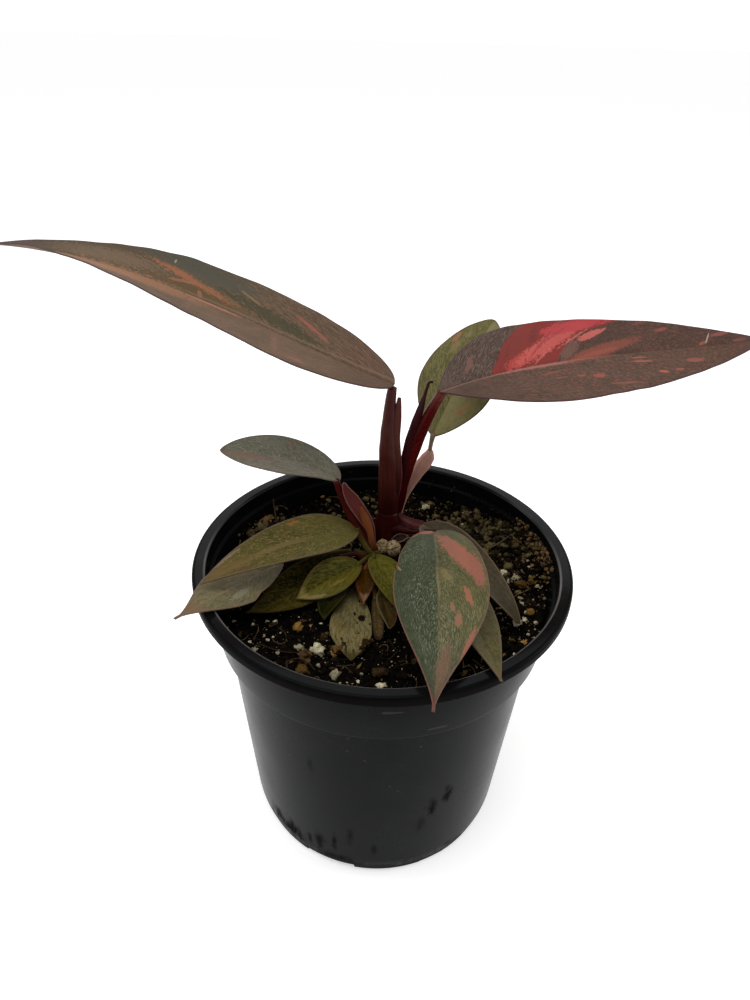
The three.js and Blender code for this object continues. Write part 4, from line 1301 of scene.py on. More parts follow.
@dataclass(frozen=True)
class Pot:
    """The nursery pot: a tapered body, a collar with a flat rim, and drain channels below."""

    rim_radius: float = 54.0
    rim_top: float = RIM_TOP
    rim_under: float = RIM_UNDER
    rim_bore: float = 50.2
    lip: float = 1.1
    collar_top: float = 50.3
    collar_low: float = 48.2
    collar_foot: float = 73.1
    body_top: float = 45.8
    body_low: float = 40.8
    low: float = 5.4
    base: float = 39.2
    wall: float = 1.1
    ledge: float = LEDGE
    ledge_step: float = 0.9
    floor: float = 1.3
    channels: int = 4
    channel_first: float = -109.5
    channel_width: float = 16.0
    channel_height: float = 2.6
    channel_start: float = 22.0
    notch_turn: float = 47.0
    notch_width: float = 7.0
    notch_height: float = 1.0
    notch_start: float = 37.2
    drain_start: float = 29.0
    drain_length: float = 6.0
    drain_width: float = 7.0
    segments: int = 192
    finish: BlackPlastic = field(default_factory=BlackPlastic)

    def bore_profile(self) -> list[tuple[float, float, float]]:
        """The inside of the pot, from the floor's middle to above the rim."""
        return [
            (0, self.floor, 0),
            (self.body_low - self.wall - 1.2, self.floor, 1.0),
            (self.body_low - self.wall, self.low, 1.0),
            (self.body_top - self.wall, self.collar_foot + self.wall, 0.4),
            (self.collar_low - self.wall, self.collar_foot + self.wall + 0.4, 0.4),
            (self.rim_bore - self.ledge_step - 0.3, self.ledge, 0.25),
            (self.rim_bore - 0.3, self.ledge + 0.3, 0.25),
            (self.rim_bore, self.rim_top - 0.6, 0.3),
            (self.rim_bore + 0.7, self.rim_top + 0.05, 0.3),
            (self.rim_bore + 0.9, self.rim_top + 2, 0),
            (0, self.rim_top + 2, 0),
        ]

    def outer_profile(self) -> list[tuple[float, float, float]]:
        """The outside of the pot, from the underside's middle over the rim to the axis."""
        under_lip = self.rim_top - self.lip
        return [
            (0, 0, 0),
            (self.base, 0, 0.7),
            (self.body_low, self.low, 2.0),
            (self.body_top, self.collar_foot - 0.4, 0.35),
            (self.collar_low, self.collar_foot, 0.5),
            (self.collar_top, self.rim_under, 0.5),
            (self.collar_top + 0.05, under_lip, 0.3),
            (self.rim_radius - self.lip, under_lip - 0.4, 0.3),
            (self.rim_radius - self.lip, self.rim_under, 0.4),
            (self.rim_radius, self.rim_under, 0.35),
            (self.rim_radius, self.rim_top, 1.0),
            (self.rim_bore + 0.3, self.rim_top, 0.3),
            (self.rim_bore - 0.4, self.rim_top - 0.5, 0),
            (0, self.rim_top - 0.5, 0),
        ]

    def channel_block(self, number: int, extra: float) -> bpy.types.Object:
        """One drain channel as a block, made larger all round by extra."""
        start = self.channel_start - extra
        width = self.channel_width + 2 * extra
        high = self.channel_height + extra
        angle = self.channel_first + number * 360 / self.channels
        return block(f"channel_{number}", start, self.rim_radius, width, BELOW, high, angle)

    def build(self) -> bpy.types.Object:
        """Makes the pot and dresses it."""
        outer = turned("plastic_pot", rounded(self.outer_profile()), self.segments)
        bore = turned("pot_bore", rounded(self.bore_profile()), self.segments)
        take_away(bore, [self.channel_block(k, self.wall) for k in range(self.channels)])
        cuts = [bore] + [self.channel_block(k, 0.0) for k in range(self.channels)]
        drain_end = self.drain_start + self.drain_length
        notch = (self.notch_start, self.rim_radius, self.notch_width, BELOW, self.notch_height)
        drain = (self.drain_start, drain_end, self.drain_width, 0.5, self.channel_height + 2)
        for k in range(self.channels):
            angle = self.channel_first + k * 360 / self.channels
            cuts.append(block("notch", *notch, angle + self.notch_turn))
            cuts.append(block("drain", *drain, angle))
        take_away(outer, cuts)
        outer.data.materials.clear()
        outer.data.materials.append(self.finish.material())
        outer.data.polygons.foreach_set("use_smooth", [True] * len(outer.data.polygons))
        outer.data.set_sharp_from_angle(angle=math.radians(32))
        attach(outer, BODY)
        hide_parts("pot")
        log.info("%s: %d faces", outer.name, len(outer.data.polygons))
        return outer


@dataclass(frozen=True)
class Grit:
    """A matt, crumbly finish of two colours, with painted shade in the hollows of its bump."""

    colour: str
    other: str
    # Colour of the painted shade in the hollows.
    dark: str
    scale: float
    roughness: float = 0.9
    depth: float = 0.15
    spread: float = 0.5
    shine: float = 0.15

    def material(self, name: str) -> bpy.types.Material:
        """The material.

        Args:
            name: The material's name.

        Returns:
            The material.
        """
        graph = material_graph(name)
        here = graph.here()
        coarse = graph.speckle(here, self.scale * 0.35, 3.0, 0.6)
        fine = graph.speckle(here, self.scale, 4.0, 0.65)
        island = graph.node("ShaderNodeNewGeometry").outputs["Random Per Island"]
        own = Value(graph, island)
        colour = graph.mix((coarse + (own - 0.5) * self.spread).rise(0.35, 0.65), self.colour, self.other)
        # Painted shade: the dark colour lies where the bump's noise is low, in its hollows.
        colour = colour.over(fine.fall(0.36, 0.5) * 0.75, self.dark)
        colour = colour * (1.0 + (own - 0.5) * (0.1 + self.spread * 0.9))
        return graph.finish(colour, self.roughness, self.shine, fine, self.depth)


@dataclass(frozen=True)
class Hill:
    """A smooth rise in the soil."""

    x: float
    y: float
    spread: float
    rise: float


@dataclass(frozen=True)
class Bits:
    """One kind of loose bit that lies on the soil.

    The patch that they are strewn over is round: the x and y of its middle, and its radius.
    """

    name: str
    count: int
    small: float
    large: float
    flatness: float
    finish: Grit
    seed: int
    rounds: int = 0
    long: float = 1.0
    sink: float = 0.2
    patch: tuple[float, float, float] = (0.0, 0.0, 100.0)

    def size(self, pick: random.Random) -> float:
        """Half the size of one bit; most are small."""
        return self.small + (self.large - self.small) * pick.random() ** 3

    def piece(self, form: Form) -> bpy.types.Object:
        """Makes them into one piece."""
        finish = self.finish.material(f"{self.name}_mix")
        return form.piece(self.name, [finish], "soil", flat=self.rounds == 0)


@dataclass(frozen=True)
class Lump:
    """One larger loose bit whose place on the soil is known."""

    x: float
    y: float
    size: float
    long: float = 1.0
    turn: float = 0.0
    tall: float = 0.8
    lift: float = 0.0


@dataclass(frozen=True)
class Fibre:
    """A thin dry root or stalk through points of x, y and height above the bed."""

    knots: tuple[Point, ...]
    thick: float

    def seed(self) -> float:
        """A number that differs between fibres."""
        return self.knots[0][0] + self.knots[0][1]


class Clearance:
    """Keeps loose bits off the blades that lie near the soil."""

    # How far apart the noted spots are, the highest that counts, and the gaps kept beside, under
    # and over a blade.
    STEP = 0.7
    HIGHEST = 98
    ASIDE = 0.6
    OVER = 0.5
    UNDER = -3.0

    def __init__(self, blades: Iterable[Blade]) -> None:
        """Notes where the blades are.

        Args:
            blades: The blades.
        """
        sheets = []
        for blade in blades:
            t = np.linspace(0, 1, int(blade.length / self.STEP))
            u = np.linspace(-1, 1, int(blade.half * 2 / self.STEP) + 3)
            sheets.append(blade.sheet(t, u).reshape(-1, 3))
        spots = np.concatenate(sheets)
        self.spots = spots[spots[:, 2] < self.HIGHEST]

    def free(self, x: float, y: float, z: float, size: float) -> bool:
        """Whether a bit of that half size would touch or cover no blade."""
        near = np.hypot(self.spots[:, 0] - x, self.spots[:, 1] - y) < size + self.ASIDE
        above = self.spots[near, 2] - z
        return not bool(np.any((above < size + self.OVER) & (above > self.UNDER)))


# Sizes of the bed's swells, clods, crumbs and finest grains, and how high the last three stand.
SWELL_SIZE = 7.5
CLOD_SIZE = 2.6
CRUMB_SIZE = 1.15
FINE_SIZE = 0.9
CLOD_RISE = 1.5
CRUMB_RISE = 0.7
FINE_RISE = 0.12

# How uneven and how square a crumb is.
STONE_ROUGH = 0.78
STONE_PITS = 0.15
STONE_SQUARE = 0.85


@dataclass(frozen=True)
class Soil:
    """Potting mix: a lumpy bed with crumbs, bark, perlite and fibres on it."""

    level: float = 81.6
    top_radius: float = 47.3
    hills: tuple[Hill, ...] = (
        Hill(0, 12, 11, 2.6), Hill(1, 12, 4.5, 1.3), Hill(38, 22, 9, 3.2), Hill(50, 8, 4.5, 4.2),
        Hill(46, 20, 3.5, 2.4), Hill(-41, 24, 5, 3.4), Hill(-45, 13, 3, 2), Hill(49, -5, 5, 1.5),
    )
    wall: tuple[Pair, ...] = ((46.6, 74.6), (44.35, 74.2), (39.35, 5.6), (37, 1.7))
    bore_radius: float = 47.0
    bore_from: float = 74.6
    bore_slope: float = 0.128
    edge_from: float = 38.0
    bank_turn: float = 72.0
    bank_rise: float = 4.0
    around: int = 420
    rings: int = 96
    seed: int = 11
    clearance: Optional[Clearance] = None

    def base_height(self, x: float, y: float) -> float:
        """Height of the bed without its lumps."""
        total = self.level
        for hill in self.hills:
            off = (x - hill.x) ** 2 + (y - hill.y) ** 2
            total += hill.rise * math.exp(-off / (2 * hill.spread**2))
        facing = max(0.0, math.cos(math.atan2(y, x) - math.radians(self.bank_turn)))
        return total + self.bank_rise * facing**0.7 * min(1.0, math.hypot(x, y) / 48) ** 9

    def height(self, x: float, y: float) -> float:
        """Height of the bed at a place."""
        spot = Vector((x, y, 3.0))
        broad = noise.noise(spot / SWELL_SIZE)
        clod = noise.voronoi(spot / CLOD_SIZE)[0][0]
        crumb = noise.voronoi(spot / CRUMB_SIZE)[0][0]
        fine = noise.fractal(spot / FINE_SIZE, 0.8, 2.1, 3)
        calm = min(1.0, max(0.25, (self.top_radius - math.hypot(x, y)) / 5.0))
        relief = broad + (0.42 - clod) * CLOD_RISE + (0.4 - crumb) * CRUMB_RISE + fine * FINE_RISE
        return self.base_height(x, y) + relief * calm

    def bore(self, z: float) -> float:
        """Radius of the pot's inside at a height."""
        return self.bore_radius + self.bore_slope * (z - self.bore_from)

    def bed(self) -> bpy.types.Object:
        """Makes the bed of soil that fills the pot."""
        radii = [self.top_radius * (k / self.rings) ** 0.75 for k in range(1, self.rings + 1)]
        points: list[Point] = [(0.0, 0.0, self.height(0.0, 0.0))]
        for radius in radii:
            for k in range(self.around):
                a = math.tau * k / self.around
                x, y = radius * math.cos(a), radius * math.sin(a)
                z = self.height(x, y)
                spare = max(0.0, self.bore(z) - SOIL_GAP - self.top_radius)
                part = max(0.0, (radius - self.edge_from) / (self.top_radius - self.edge_from))
                out = 1 + spare / radius * part**2
                points.append((x * out, y * out, z))
        for radius, z in self.wall:
            for k in range(self.around):
                a = math.tau * k / self.around
                points.append((radius * math.cos(a), radius * math.sin(a), z))
        points.append((0.0, 0.0, self.wall[-1][1]))
        faces: list[tuple[int, ...]] = []
        total = self.rings + len(self.wall)
        for k in range(self.around):
            n = (k + 1) % self.around
            faces.append((0, 1 + k, 1 + n))
            for r in range(total - 1):
                a, b = 1 + r * self.around, 1 + (r + 1) * self.around
                faces.append((a + k, b + k, b + n, a + n))
            a = 1 + (total - 1) * self.around
            faces.append((a + k, len(points) - 1, a + n))
        form = Form()
        form.add(np.array(points), faces)
        return form.piece("soil_bed", [MIX.material("soil_mix")], "soil", ["soil"])

    def stone(
        self, centre: Point, size: Point, turn: float, rounds: int, pick: random.Random
    ) -> tuple[np.ndarray, list[tuple[int, int, int]]]:
        """Makes one angular crumb.

        Args:
            centre: Its middle.
            size: Its half sizes before it is turned.
            turn: Its turn about Z, in radians.
            rounds: How fine its facets are.
            pick: The source of random numbers.

        Returns:
            Its points and faces.
        """
        ball, faces = PEBBLES[rounds]
        shift = np.array([pick.random(), pick.random(), pick.random()]) * 50
        rough = np.array([noise.noise(Vector((p * 1.6 + shift).tolist())) for p in ball])
        pits = np.array([noise.noise(Vector((p * 4.0 + shift).tolist())) for p in ball])
        swell = np.maximum(0.4, 1 + STONE_ROUGH * rough + (STONE_PITS + STONE_PITS * rounds) * pits)
        shaped = ball * swell[:, None]
        shaped = np.sign(shaped) * np.abs(shaped) ** STONE_SQUARE * np.array(size)
        tilt = Matrix.Rotation(turn, 3, "Z") @ Matrix.Rotation(pick.uniform(-0.5, 0.5), 3, "X")
        return shaped @ np.array(tilt).T + np.array(centre), faces

    def is_free(self, x: float, y: float, z: float, size: float) -> bool:
        """Whether a bit may lie there: inside the pot and off the blades."""
        if math.hypot(x, y) > self.bore(z) - SOIL_GAP - 0.7 * size:
            return False
        return self.clearance is None or self.clearance.free(x, y, z, size)

    def scatter(self, bits: Bits) -> bpy.types.Object:
        """Strews one kind of bit over the bed.

        Args:
            bits: What is strewn.

        Returns:
            The piece.
        """
        pick = random.Random(bits.seed)
        form = Form()
        for _ in range(bits.count):
            radius = min(bits.patch[2], self.top_radius + 0.8) * math.sqrt(pick.random())
            a = math.tau * pick.random()
            x, y = bits.patch[0] + radius * math.cos(a), bits.patch[1] + radius * math.sin(a)
            size = bits.size(pick)
            long = size * bits.long * pick.uniform(0.8, 1.25)
            sizes = (long, size * pick.uniform(0.7, 1.1), size * bits.flatness)
            z = self.height(x, y) + sizes[2] * (1 - 2 * bits.sink) * pick.uniform(0.3, 1.0)
            turn = math.tau * pick.random()
            if self.is_free(x, y, z, size * bits.long):
                form.add(*self.stone((x, y, z), sizes, turn, bits.rounds, pick))
        return bits.piece(form)

    def on_wall(self, bits: Bits, turns: Pair, heights: Pair) -> bpy.types.Object:
        """Sticks bits to the inside of the pot.

        Args:
            bits: What sticks there.
            turns: Between which angles round the pot, in degrees.
            heights: Between which heights.

        Returns:
            The piece.
        """
        pick = random.Random(bits.seed)
        form = Form()
        for _ in range(bits.count):
            a = math.radians(pick.triangular(*turns))
            z = pick.uniform(*heights)
            size = bits.size(pick)
            radius = self.bore(z) + (0.7 if z > LEDGE else 0.0) - 0.75 * size
            shares = (pick.uniform(0.7, 1.1), pick.uniform(0.7, 1.1), pick.uniform(0.6, 1.1))
            sizes = (size * shares[0], size * shares[1], size * shares[2])
            centre = (radius * math.cos(a), radius * math.sin(a), z)
            form.add(*self.stone(centre, sizes, math.tau * pick.random(), bits.rounds, pick))
        return bits.piece(form)

    def placed(self, name: str, lumps: Sequence[Lump], finish: Grit) -> bpy.types.Object:
        """Lays larger bits at known places on the bed.

        Args:
            name: The piece's name.
            lumps: The bits.
            finish: Their finish.

        Returns:
            The piece.
        """
        pick = random.Random(len(lumps) + self.seed)
        form = Form()
        for lump in lumps:
            half = lump.size / 2
            z = max(self.height(lump.x, lump.y), self.base_height(lump.x, lump.y) - 0.3)
            z += half * lump.tall * 0.45 + lump.lift
            size = (half * lump.long, half, half * lump.tall)
            form.add(*self.stone((lump.x, lump.y, z), size, math.radians(lump.turn), 2, pick))
        return form.piece(name, [finish.material(f"{name}_mix")], "soil")

    def fibres(
        self, name: str, strands: Sequence[Fibre], count: int, finish: Grit, seed: int
    ) -> bpy.types.Object:
        """Lays known fibres on the bed and strews fine ones between them.

        Args:
            name: The piece's name.
            strands: The fibres whose place is known.
            count: How many more are strewn.
            finish: Their finish.
            seed: The start of the random numbers.

        Returns:
            The piece.
        """
        pick = random.Random(seed)
        form = Form()
        for strand in strands:
            knots = []
            for k, (x, y, up) in enumerate(strand.knots):
                thick = strand.thick * (1 - 0.1 * k)
                knots.append((x, y, self.base_height(x, y) + up, thick, thick))
            shape = {"rings": 28, "sides": 10, "uneven": 0.35, "seed": strand.seed()}
            Stalk(tuple(knots), (0.6, 0.8, 0.1), **shape).grow(form)
        for _ in range(count):
            radius = (self.top_radius - 2.5) * math.sqrt(pick.random())
            a = math.tau * pick.random()
            x, y = radius * math.cos(a), radius * math.sin(a)
            heading = math.tau * pick.random()
            bend = pick.uniform(-0.9, 0.9)
            stride = pick.uniform(0.5, 1.5)
            thick = pick.uniform(0.1, 0.3)
            lift = pick.uniform(0.2, 0.9)
            knots = []
            for k in range(5):
                z = self.height(x, y) + thick + lift * math.sin(math.pi * k / 4)
                knots.append((x, y, z, thick, thick))
                x += stride * math.cos(heading)
                y += stride * math.sin(heading)
                heading += bend * pick.uniform(0.3, 1.2)
            if all(self.is_free(*knot[:3], 0.3) for knot in knots):
                Stalk(tuple(knots), (0.0, 0.1, 1.0), rings=12, sides=6, uneven=0.3).grow(form)
        return form.piece(name, [finish.material(f"{name}_mix")], "soil")


def ball_mesh(rounds: int) -> tuple[np.ndarray, list[tuple[int, int, int]]]:
    """A ball of triangles with a radius of 1.

    Args:
        rounds: How often each triangle is divided in four.

    Returns:
        Points and faces.
    """
    g = (1 + math.sqrt(5)) / 2
    corners = [
        (-1, g, 0), (1, g, 0), (-1, -g, 0), (1, -g, 0), (0, -1, g), (0, 1, g), (0, -1, -g), (0, 1, -g),
        (g, 0, -1), (g, 0, 1), (-g, 0, -1), (-g, 0, 1),
    ]
    points = [np.array(p) / np.linalg.norm(p) for p in corners]
    faces = [
        (0, 11, 5), (0, 5, 1), (0, 1, 7), (0, 7, 10), (0, 10, 11), (1, 5, 9), (5, 11, 4), (11, 10, 2),
        (10, 7, 6), (7, 1, 8), (3, 9, 4), (3, 4, 2), (3, 2, 6), (3, 6, 8), (3, 8, 9), (4, 9, 5),
        (2, 4, 11), (6, 2, 10), (8, 6, 7), (9, 8, 1),
    ]
    for _ in range(rounds):
        middles: dict[Pair, int] = {}

        def middle(a: int, b: int) -> int:
            """Number of the point between two others."""
            key = (min(a, b), max(a, b))
            if key not in middles:
                spot = points[a] + points[b]
                points.append(spot / np.linalg.norm(spot))
                middles[key] = len(points) - 1
            return middles[key]

        finer = []
        for a, b, c in faces:
            ab, bc, ca = middle(a, b), middle(b, c), middle(c, a)
            finer += [(a, ab, ca), (b, bc, ab), (c, ca, bc), (ab, bc, ca)]
        faces = finer
    return np.array(points), faces


PEBBLES = tuple(ball_mesh(rounds) for rounds in range(3))


@dataclass(frozen=True)
class Nugget:
    """The large pale perlite lump in front of the stem, made of two pitted lobes."""

    first: Point = (-0.1, 11.5, 88.4)
    second: Point = (3.1, 11.2, 88.2)
    first_radius: Point = (2.1, 2.1, 2.7)
    second_radius: Point = (2.2, 2.2, 2.8)

    def build(self) -> bpy.types.Object:
        """Makes the lump."""
        ball, faces = ball_mesh(6)
        middle = (np.array(self.first) + np.array(self.second)) / 2
        points = []
        for way in ball:
            far = 0.3
            for centre, radius in ((self.first, self.first_radius), (self.second, self.second_radius)):
                r = np.array(radius)
                o = (middle - np.array(centre)) / r
                d = way / r
                b = float(np.dot(o, d))
                a = float(np.dot(d, d))
                root = b * b - a * (float(np.dot(o, o)) - 1)
                if root > 0:
                    reach = (-b + math.sqrt(root)) / a
                    far = (max(far, reach) ** 8 + 0.5 * min(far, reach) ** 8) ** 0.125
            spot = middle + way * far
            swell = 0.3 * noise.noise(Vector(spot / 1.2)) + 0.1 * noise.noise(Vector(spot / 0.5))
            pit = noise.voronoi(Vector(spot / 1.15))[0][0]
            hole = -0.85 * max(0.0, 0.42 - pit) / 0.42
            points.append(middle + way * (far + swell + hole))
        form = Form()
        form.add(np.array(points), faces)
        finish = PUMICE.material("nugget_pumice")
        return form.piece("perlite_nugget", [finish], "perlite_lump", ["perlite_lump"])


@dataclass(frozen=True)
class Leaf:
    """A leaf with its own stalk, as one piece or as a blade and a petiole."""

    name: str
    node: str
    blade: Blade
    finish: BladeFinish
    stalk: Optional[Stalk] = None
    stalk_finish: Optional[StalkFinish] = None

    def build(self) -> bpy.types.Object:
        """Makes the leaf and dresses it."""
        form = Form()
        self.blade.grow(form)
        finishes = [self.finish.top(self.name, self.blade), self.finish.below(self.name, self.blade)]
        if self.stalk is not None and self.stalk_finish is not None:
            self.stalk.grow(form, 2)
            finishes.append(self.stalk_finish.material(self.name))
        return form.piece(self.name, finishes, self.node, [self.node])


@dataclass(frozen=True)
class Shoot:
    """A stalk that is a piece of its own, with any sheath that grows from it."""

    name: str
    node: str
    parts: tuple[tuple[Stalk, StalkFinish], ...]

    def build(self) -> bpy.types.Object:
        """Makes the stalk and dresses it."""
        form = Form()
        finishes = []
        for number, (stalk, finish) in enumerate(self.parts):
            stalk.grow(form, number)
            finishes.append(finish.material(f"{self.name}_{number}"))
        return form.piece(self.name, finishes, self.node, [self.node])


MAROON = StalkFinish("#300708", "#260506", "#43100f", "#1c0304", gloss=0.3)
BROWN_RED = StalkFinish("#3f1712", "#2f0c0a", "#55281b", "#260405", 0.4, 0.9, streaks=0.55, gloss=0.34)
WING_BROWN = StalkFinish("#512921", "#34100e", "#653a30", "#260507", 0.55, 0.95)
DEEP_RED = StalkFinish(
    "#460b0b", "#2e0406", "#661f1b", "#210103", 0.5, 0.9, gloss=0.28, shine=0.07, top="#5c2a24",
)
WING_RED = StalkFinish("#300a0f", "#260507", "#46161a", "#220406", gloss=0.34)
# Paler than the sheath's own dusty pink: partly painted light that makes up for the shade it stands in.
DUSTY_PINK_WITH_PAINTED_LIGHT = StalkFinish("#b48475", "#9a6e60", "#c99b8c", "#5a2d28", 0.3, 0.8, gloss=0.45)
PALE_TAN = StalkFinish("#7d6d58", "#6f5f4a", "#8d7f68", "#745a4b", gloss=0.45)
BOAT_RED = StalkFinish("#602b29", "#703a37", "#844943", "#30100f", 0.25)
PINK_EDGE = StalkFinish("#855852", "#74483f", "#9a7068", "#5a2e2c", gloss=0.45)
RED_EDGE = StalkFinish("#642a2d", "#4c1b1f", "#7a3c3e", "#300e11", gloss=0.4)
FLAP_MAROON = StalkFinish("#62302b", "#4c2220", "#7c4b44", "#2c0a0c", 0.4, 0.7)
COLLAR_RED = StalkFinish("#340a0a", "#280506", "#4d1613", "#1c0304", 0.5, 0.8)
AMBER = StalkFinish("#764020", "#5e2f14", "#935c2c", "#200a04", 0.45, 0.85)
OLIVE_STALK = StalkFinish("#4a3c12", "#3c300e", "#5e501e", "#241404", gloss=0.4)
GREEN_STALK = StalkFinish("#4a4514", "#3b360e", "#5e5a22", "#2c1d06", gloss=0.4)
RED_STALK = StalkFinish("#48120d", "#370a08", "#5e2016", "#220605", gloss=0.4)

UPPER_LEFT = Blade(
    (1.4, 16.1, 140.2), 167.4, 16, 123.2, 16, arch=(20.8, -40.3), swing=(-3.1, 5.9), roll=(7.3, -17.3),
    fold=9.9, cup=0.01, widest=0.31, blunt=0.51, point=1.06, skew=-0.03, veins=(1.6, 1), rows=150, cols=48,
    seed=1,
    fuller=(
        (0, 0, 0, 0, 0), (0.24, 0, 0.3, 0, 0.2), (0.33, 0, 0.7, 0, 0.4), (0.41, 0, 1.1, 0, 0.7),
        (0.49, 0.2, 1.8, 0, 1.2), (0.57, 0.1, 2.3, 0, 1.5), (0.65, -0.3, 2.7, 0.1, 1.8),
        (0.73, -0.9, 1.9, 0.6, 1.2), (0.83, -1.4, 1.5, 0.9, 1), (0.9, -1.1, 0.8, 0.7, 0.5), (1, 0, 0, 0, 0),
    ),
    ease=0.1,
)
UPPER_RIGHT = Blade(
    (13.7, 13.7, 139.9), 28, 9.4, 105, 20.1, arch=(-35.3, 33.1), swing=(-15.8, -4.2), roll=(-5.1, -12.4),
    fold=5.8, cup=-0.02, widest=0.3, blunt=0.79, point=0.82, skew=0.01, veins=(0.6, 0.4), ripple=0.35,
    rows=140, cols=52, seed=2,
)
BACK_GREEN = Blade(
    (13.4, 24, 120.4), 55.4, 48.2, 43.3, 11.6, arch=(-23.8, 2), swing=(5, -0.2), roll=(-11.5, 2.6),
    fold=8.6, widest=0.41, blunt=0.77, point=0.69, skew=-0.01, rows=90, seed=3,
)
SIDE_LEFT = Blade(
    (-13.6, 15.9, 109), 149.9, 8.7, 39.9, 8.2, arch=(-11.9, 1.3), swing=(21.1, 7.1), roll=(-3.8, 30.3),
    fold=10.7, cup=0.02, widest=0.44, blunt=0.53, point=0.68, skew=0.01, ripple=0.15, rows=90, seed=4,
    fuller=((0, 0, 0, 0, 0), (0.12, -1.3, 0, 0, 0), (0.22, -0.7, 0, 0, 0), (0.35, 0, 0, 0, 0)),
)
LEFT_OLIVE = Blade(
    (-7.7, 13.4, 92.9), 214.1, 15.8, 53.5, 7.4, arch=(-25.2, 8.8), swing=(9.9, 5.4), roll=(25.1, -15.5),
    fold=11.8, cup=0.03, widest=0.31, blunt=0.62, point=0.87, skew=0.03, ripple=0.2, rows=100, seed=5,
)
OVER_RIM = Blade(
    (-30, 4.8, 86.7), 241.9, 14.3, 46.7, 7.9, arch=(5.3, -5.2), swing=(-0.3, 1.6), roll=(9.9, 2.7),
    fold=4.3, cup=-0.04, widest=0.47, blunt=0.7, point=1.6, ripple=0.2, rows=90, seed=6,
    fuller=((0, 0, 0, 0, 0), (0.2, -1.2, 0, 0, 0), (0.4, -1.4, 0, 0, 0), (0.5, 0, 0, 0, 0)),
)
DARK_OLIVE = Blade(
    (-11.4, 7.8, 87.6), 230.2, -6.9, 36.4, 7.1, arch=(-4.1, 19.4), swing=(-5.9, -7.3), roll=(11.1, 8.2),
    point=1.09, ripple=0.2, rows=80, cols=32, seed=7,
)
SMALL_GREEN = Blade(
    (-6.4, 0.6, 90.2), 212.5, -6, 21.6, 5.8, arch=(-20.7, 18.3), swing=(6.4, -3.2), roll=(7.5, 27.5),
    fold=12.4, cup=0.03, blunt=0.51, point=0.9, ripple=0.1, rows=64, cols=32, seed=8,
)
TINY_GREEN = Blade(
    (-10.3, -2.3, 83.5), 236.3, 15.6, 16.9, 3.9, arch=(-20.2, -2.7), swing=(25.5, 7.8), roll=(-14.3, -0.8),
    fold=10.2, cup=0.02, widest=0.46, point=0.9, ripple=0.1, rows=48, cols=24, seed=9,
)
FADED = Blade(
    (-7.3, -1.1, 83.3), 262.7, -5.3, 30.6, 6, arch=(4.8, 9.4), swing=(16.9, -3.1), roll=(7.3, 0.9),
    fold=7.6, cup=-0.01, widest=0.59, blunt=0.77, point=0.9, wave=0.35, rows=90, cols=40, seed=10,
    thick=0.4,
)
RUST = Blade(
    (-4.9, 2.3, 87.8), 269.2, -1.9, 13.7, 3, arch=(-26.6, 1.4), swing=(1.2, -0.8), roll=(3.4, 4.5),
    fold=17.2, widest=0.4, blunt=0.49, point=1.08, ripple=0.05, rows=48, cols=24, seed=11,
)
CENTRE_GREEN = Blade(
    (-3, 4.5, 90.4), 302, 0.6, 23.5, 5, arch=(-21.4, -2.8), swing=(-13.9, -4.4), roll=(-0.8, 1.7), fold=9.4,
    cup=0.01, blunt=0.53, point=0.96, ripple=0.1, rows=64, cols=32, seed=12,
)
FRONT = Blade(
    (14.9, 7.4, 98), 271, 11.9, 67, 12.5, arch=(-31.9, 8.4), swing=(-5.1, -1.8), roll=(-5.6, 6.1), fold=7.4,
    cup=-0.01, widest=0.45, blunt=0.41, point=1.45, skew=-0.05, veins=(1.3, 1.2), ripple=0.25, rows=130,
    cols=48, seed=13, nicks=((23, Side.RIGHT, 0.7, 0.8), (19.5, Side.RIGHT, 0.3, 2)),
)
RIGHT_BROWN = Blade(
    (11.8, 13, 96.3), 312.9, 1.7, 42.2, 6.7, arch=(-37.5, 5.7), swing=(-0.6, -3.9), roll=(-4.5, 22.5),
    fold=10.5, cup=0.02, widest=0.29, blunt=0.46, point=0.59, ripple=0.15, rows=80, cols=32, seed=14,
)
FRONT_RIGHT = Blade(
    (16.9, 3.4, 90.5), 284.4, 8, 53.9, 7.3, arch=(-8.1, 6.2), swing=(-1.3, -3), roll=(10.3, 5.1), fold=7.6,
    cup=-0.01, point=1.09, ripple=0.2, rows=90, cols=32, seed=15,
)
DRIED_STRIP = Blade(
    (-1.8, -7.5, 85.1), 279.4, -8, 16.7, 1.7, arch=(4.3, 4.4), swing=(-6.8, -2.4), fold=8.6, widest=0.52,
    blunt=0.42, point=0.28, ripple=0.2, rows=48, cols=20, seed=16,
)
SMALL_GREY = Blade(
    (-0.4, -7.4, 86.7), 285.9, -2.4, 15.5, 3.2, arch=(3.4, 2.6), swing=(-7, -4.8), roll=(24.9, 12.5),
    fold=8.9, widest=0.51, point=0.77, ripple=0.1, rows=48, cols=24, seed=17,
)
DRY_SKIN = Blade(
    (2.7, 13.3, 89.7), 345, 32, 5.8, 1.5, arch=(-8, 0), roll=(-45, 0), fold=18, widest=0.5, blunt=0.5,
    point=0.7, ripple=0.1, rows=32, cols=16, seed=18,
)
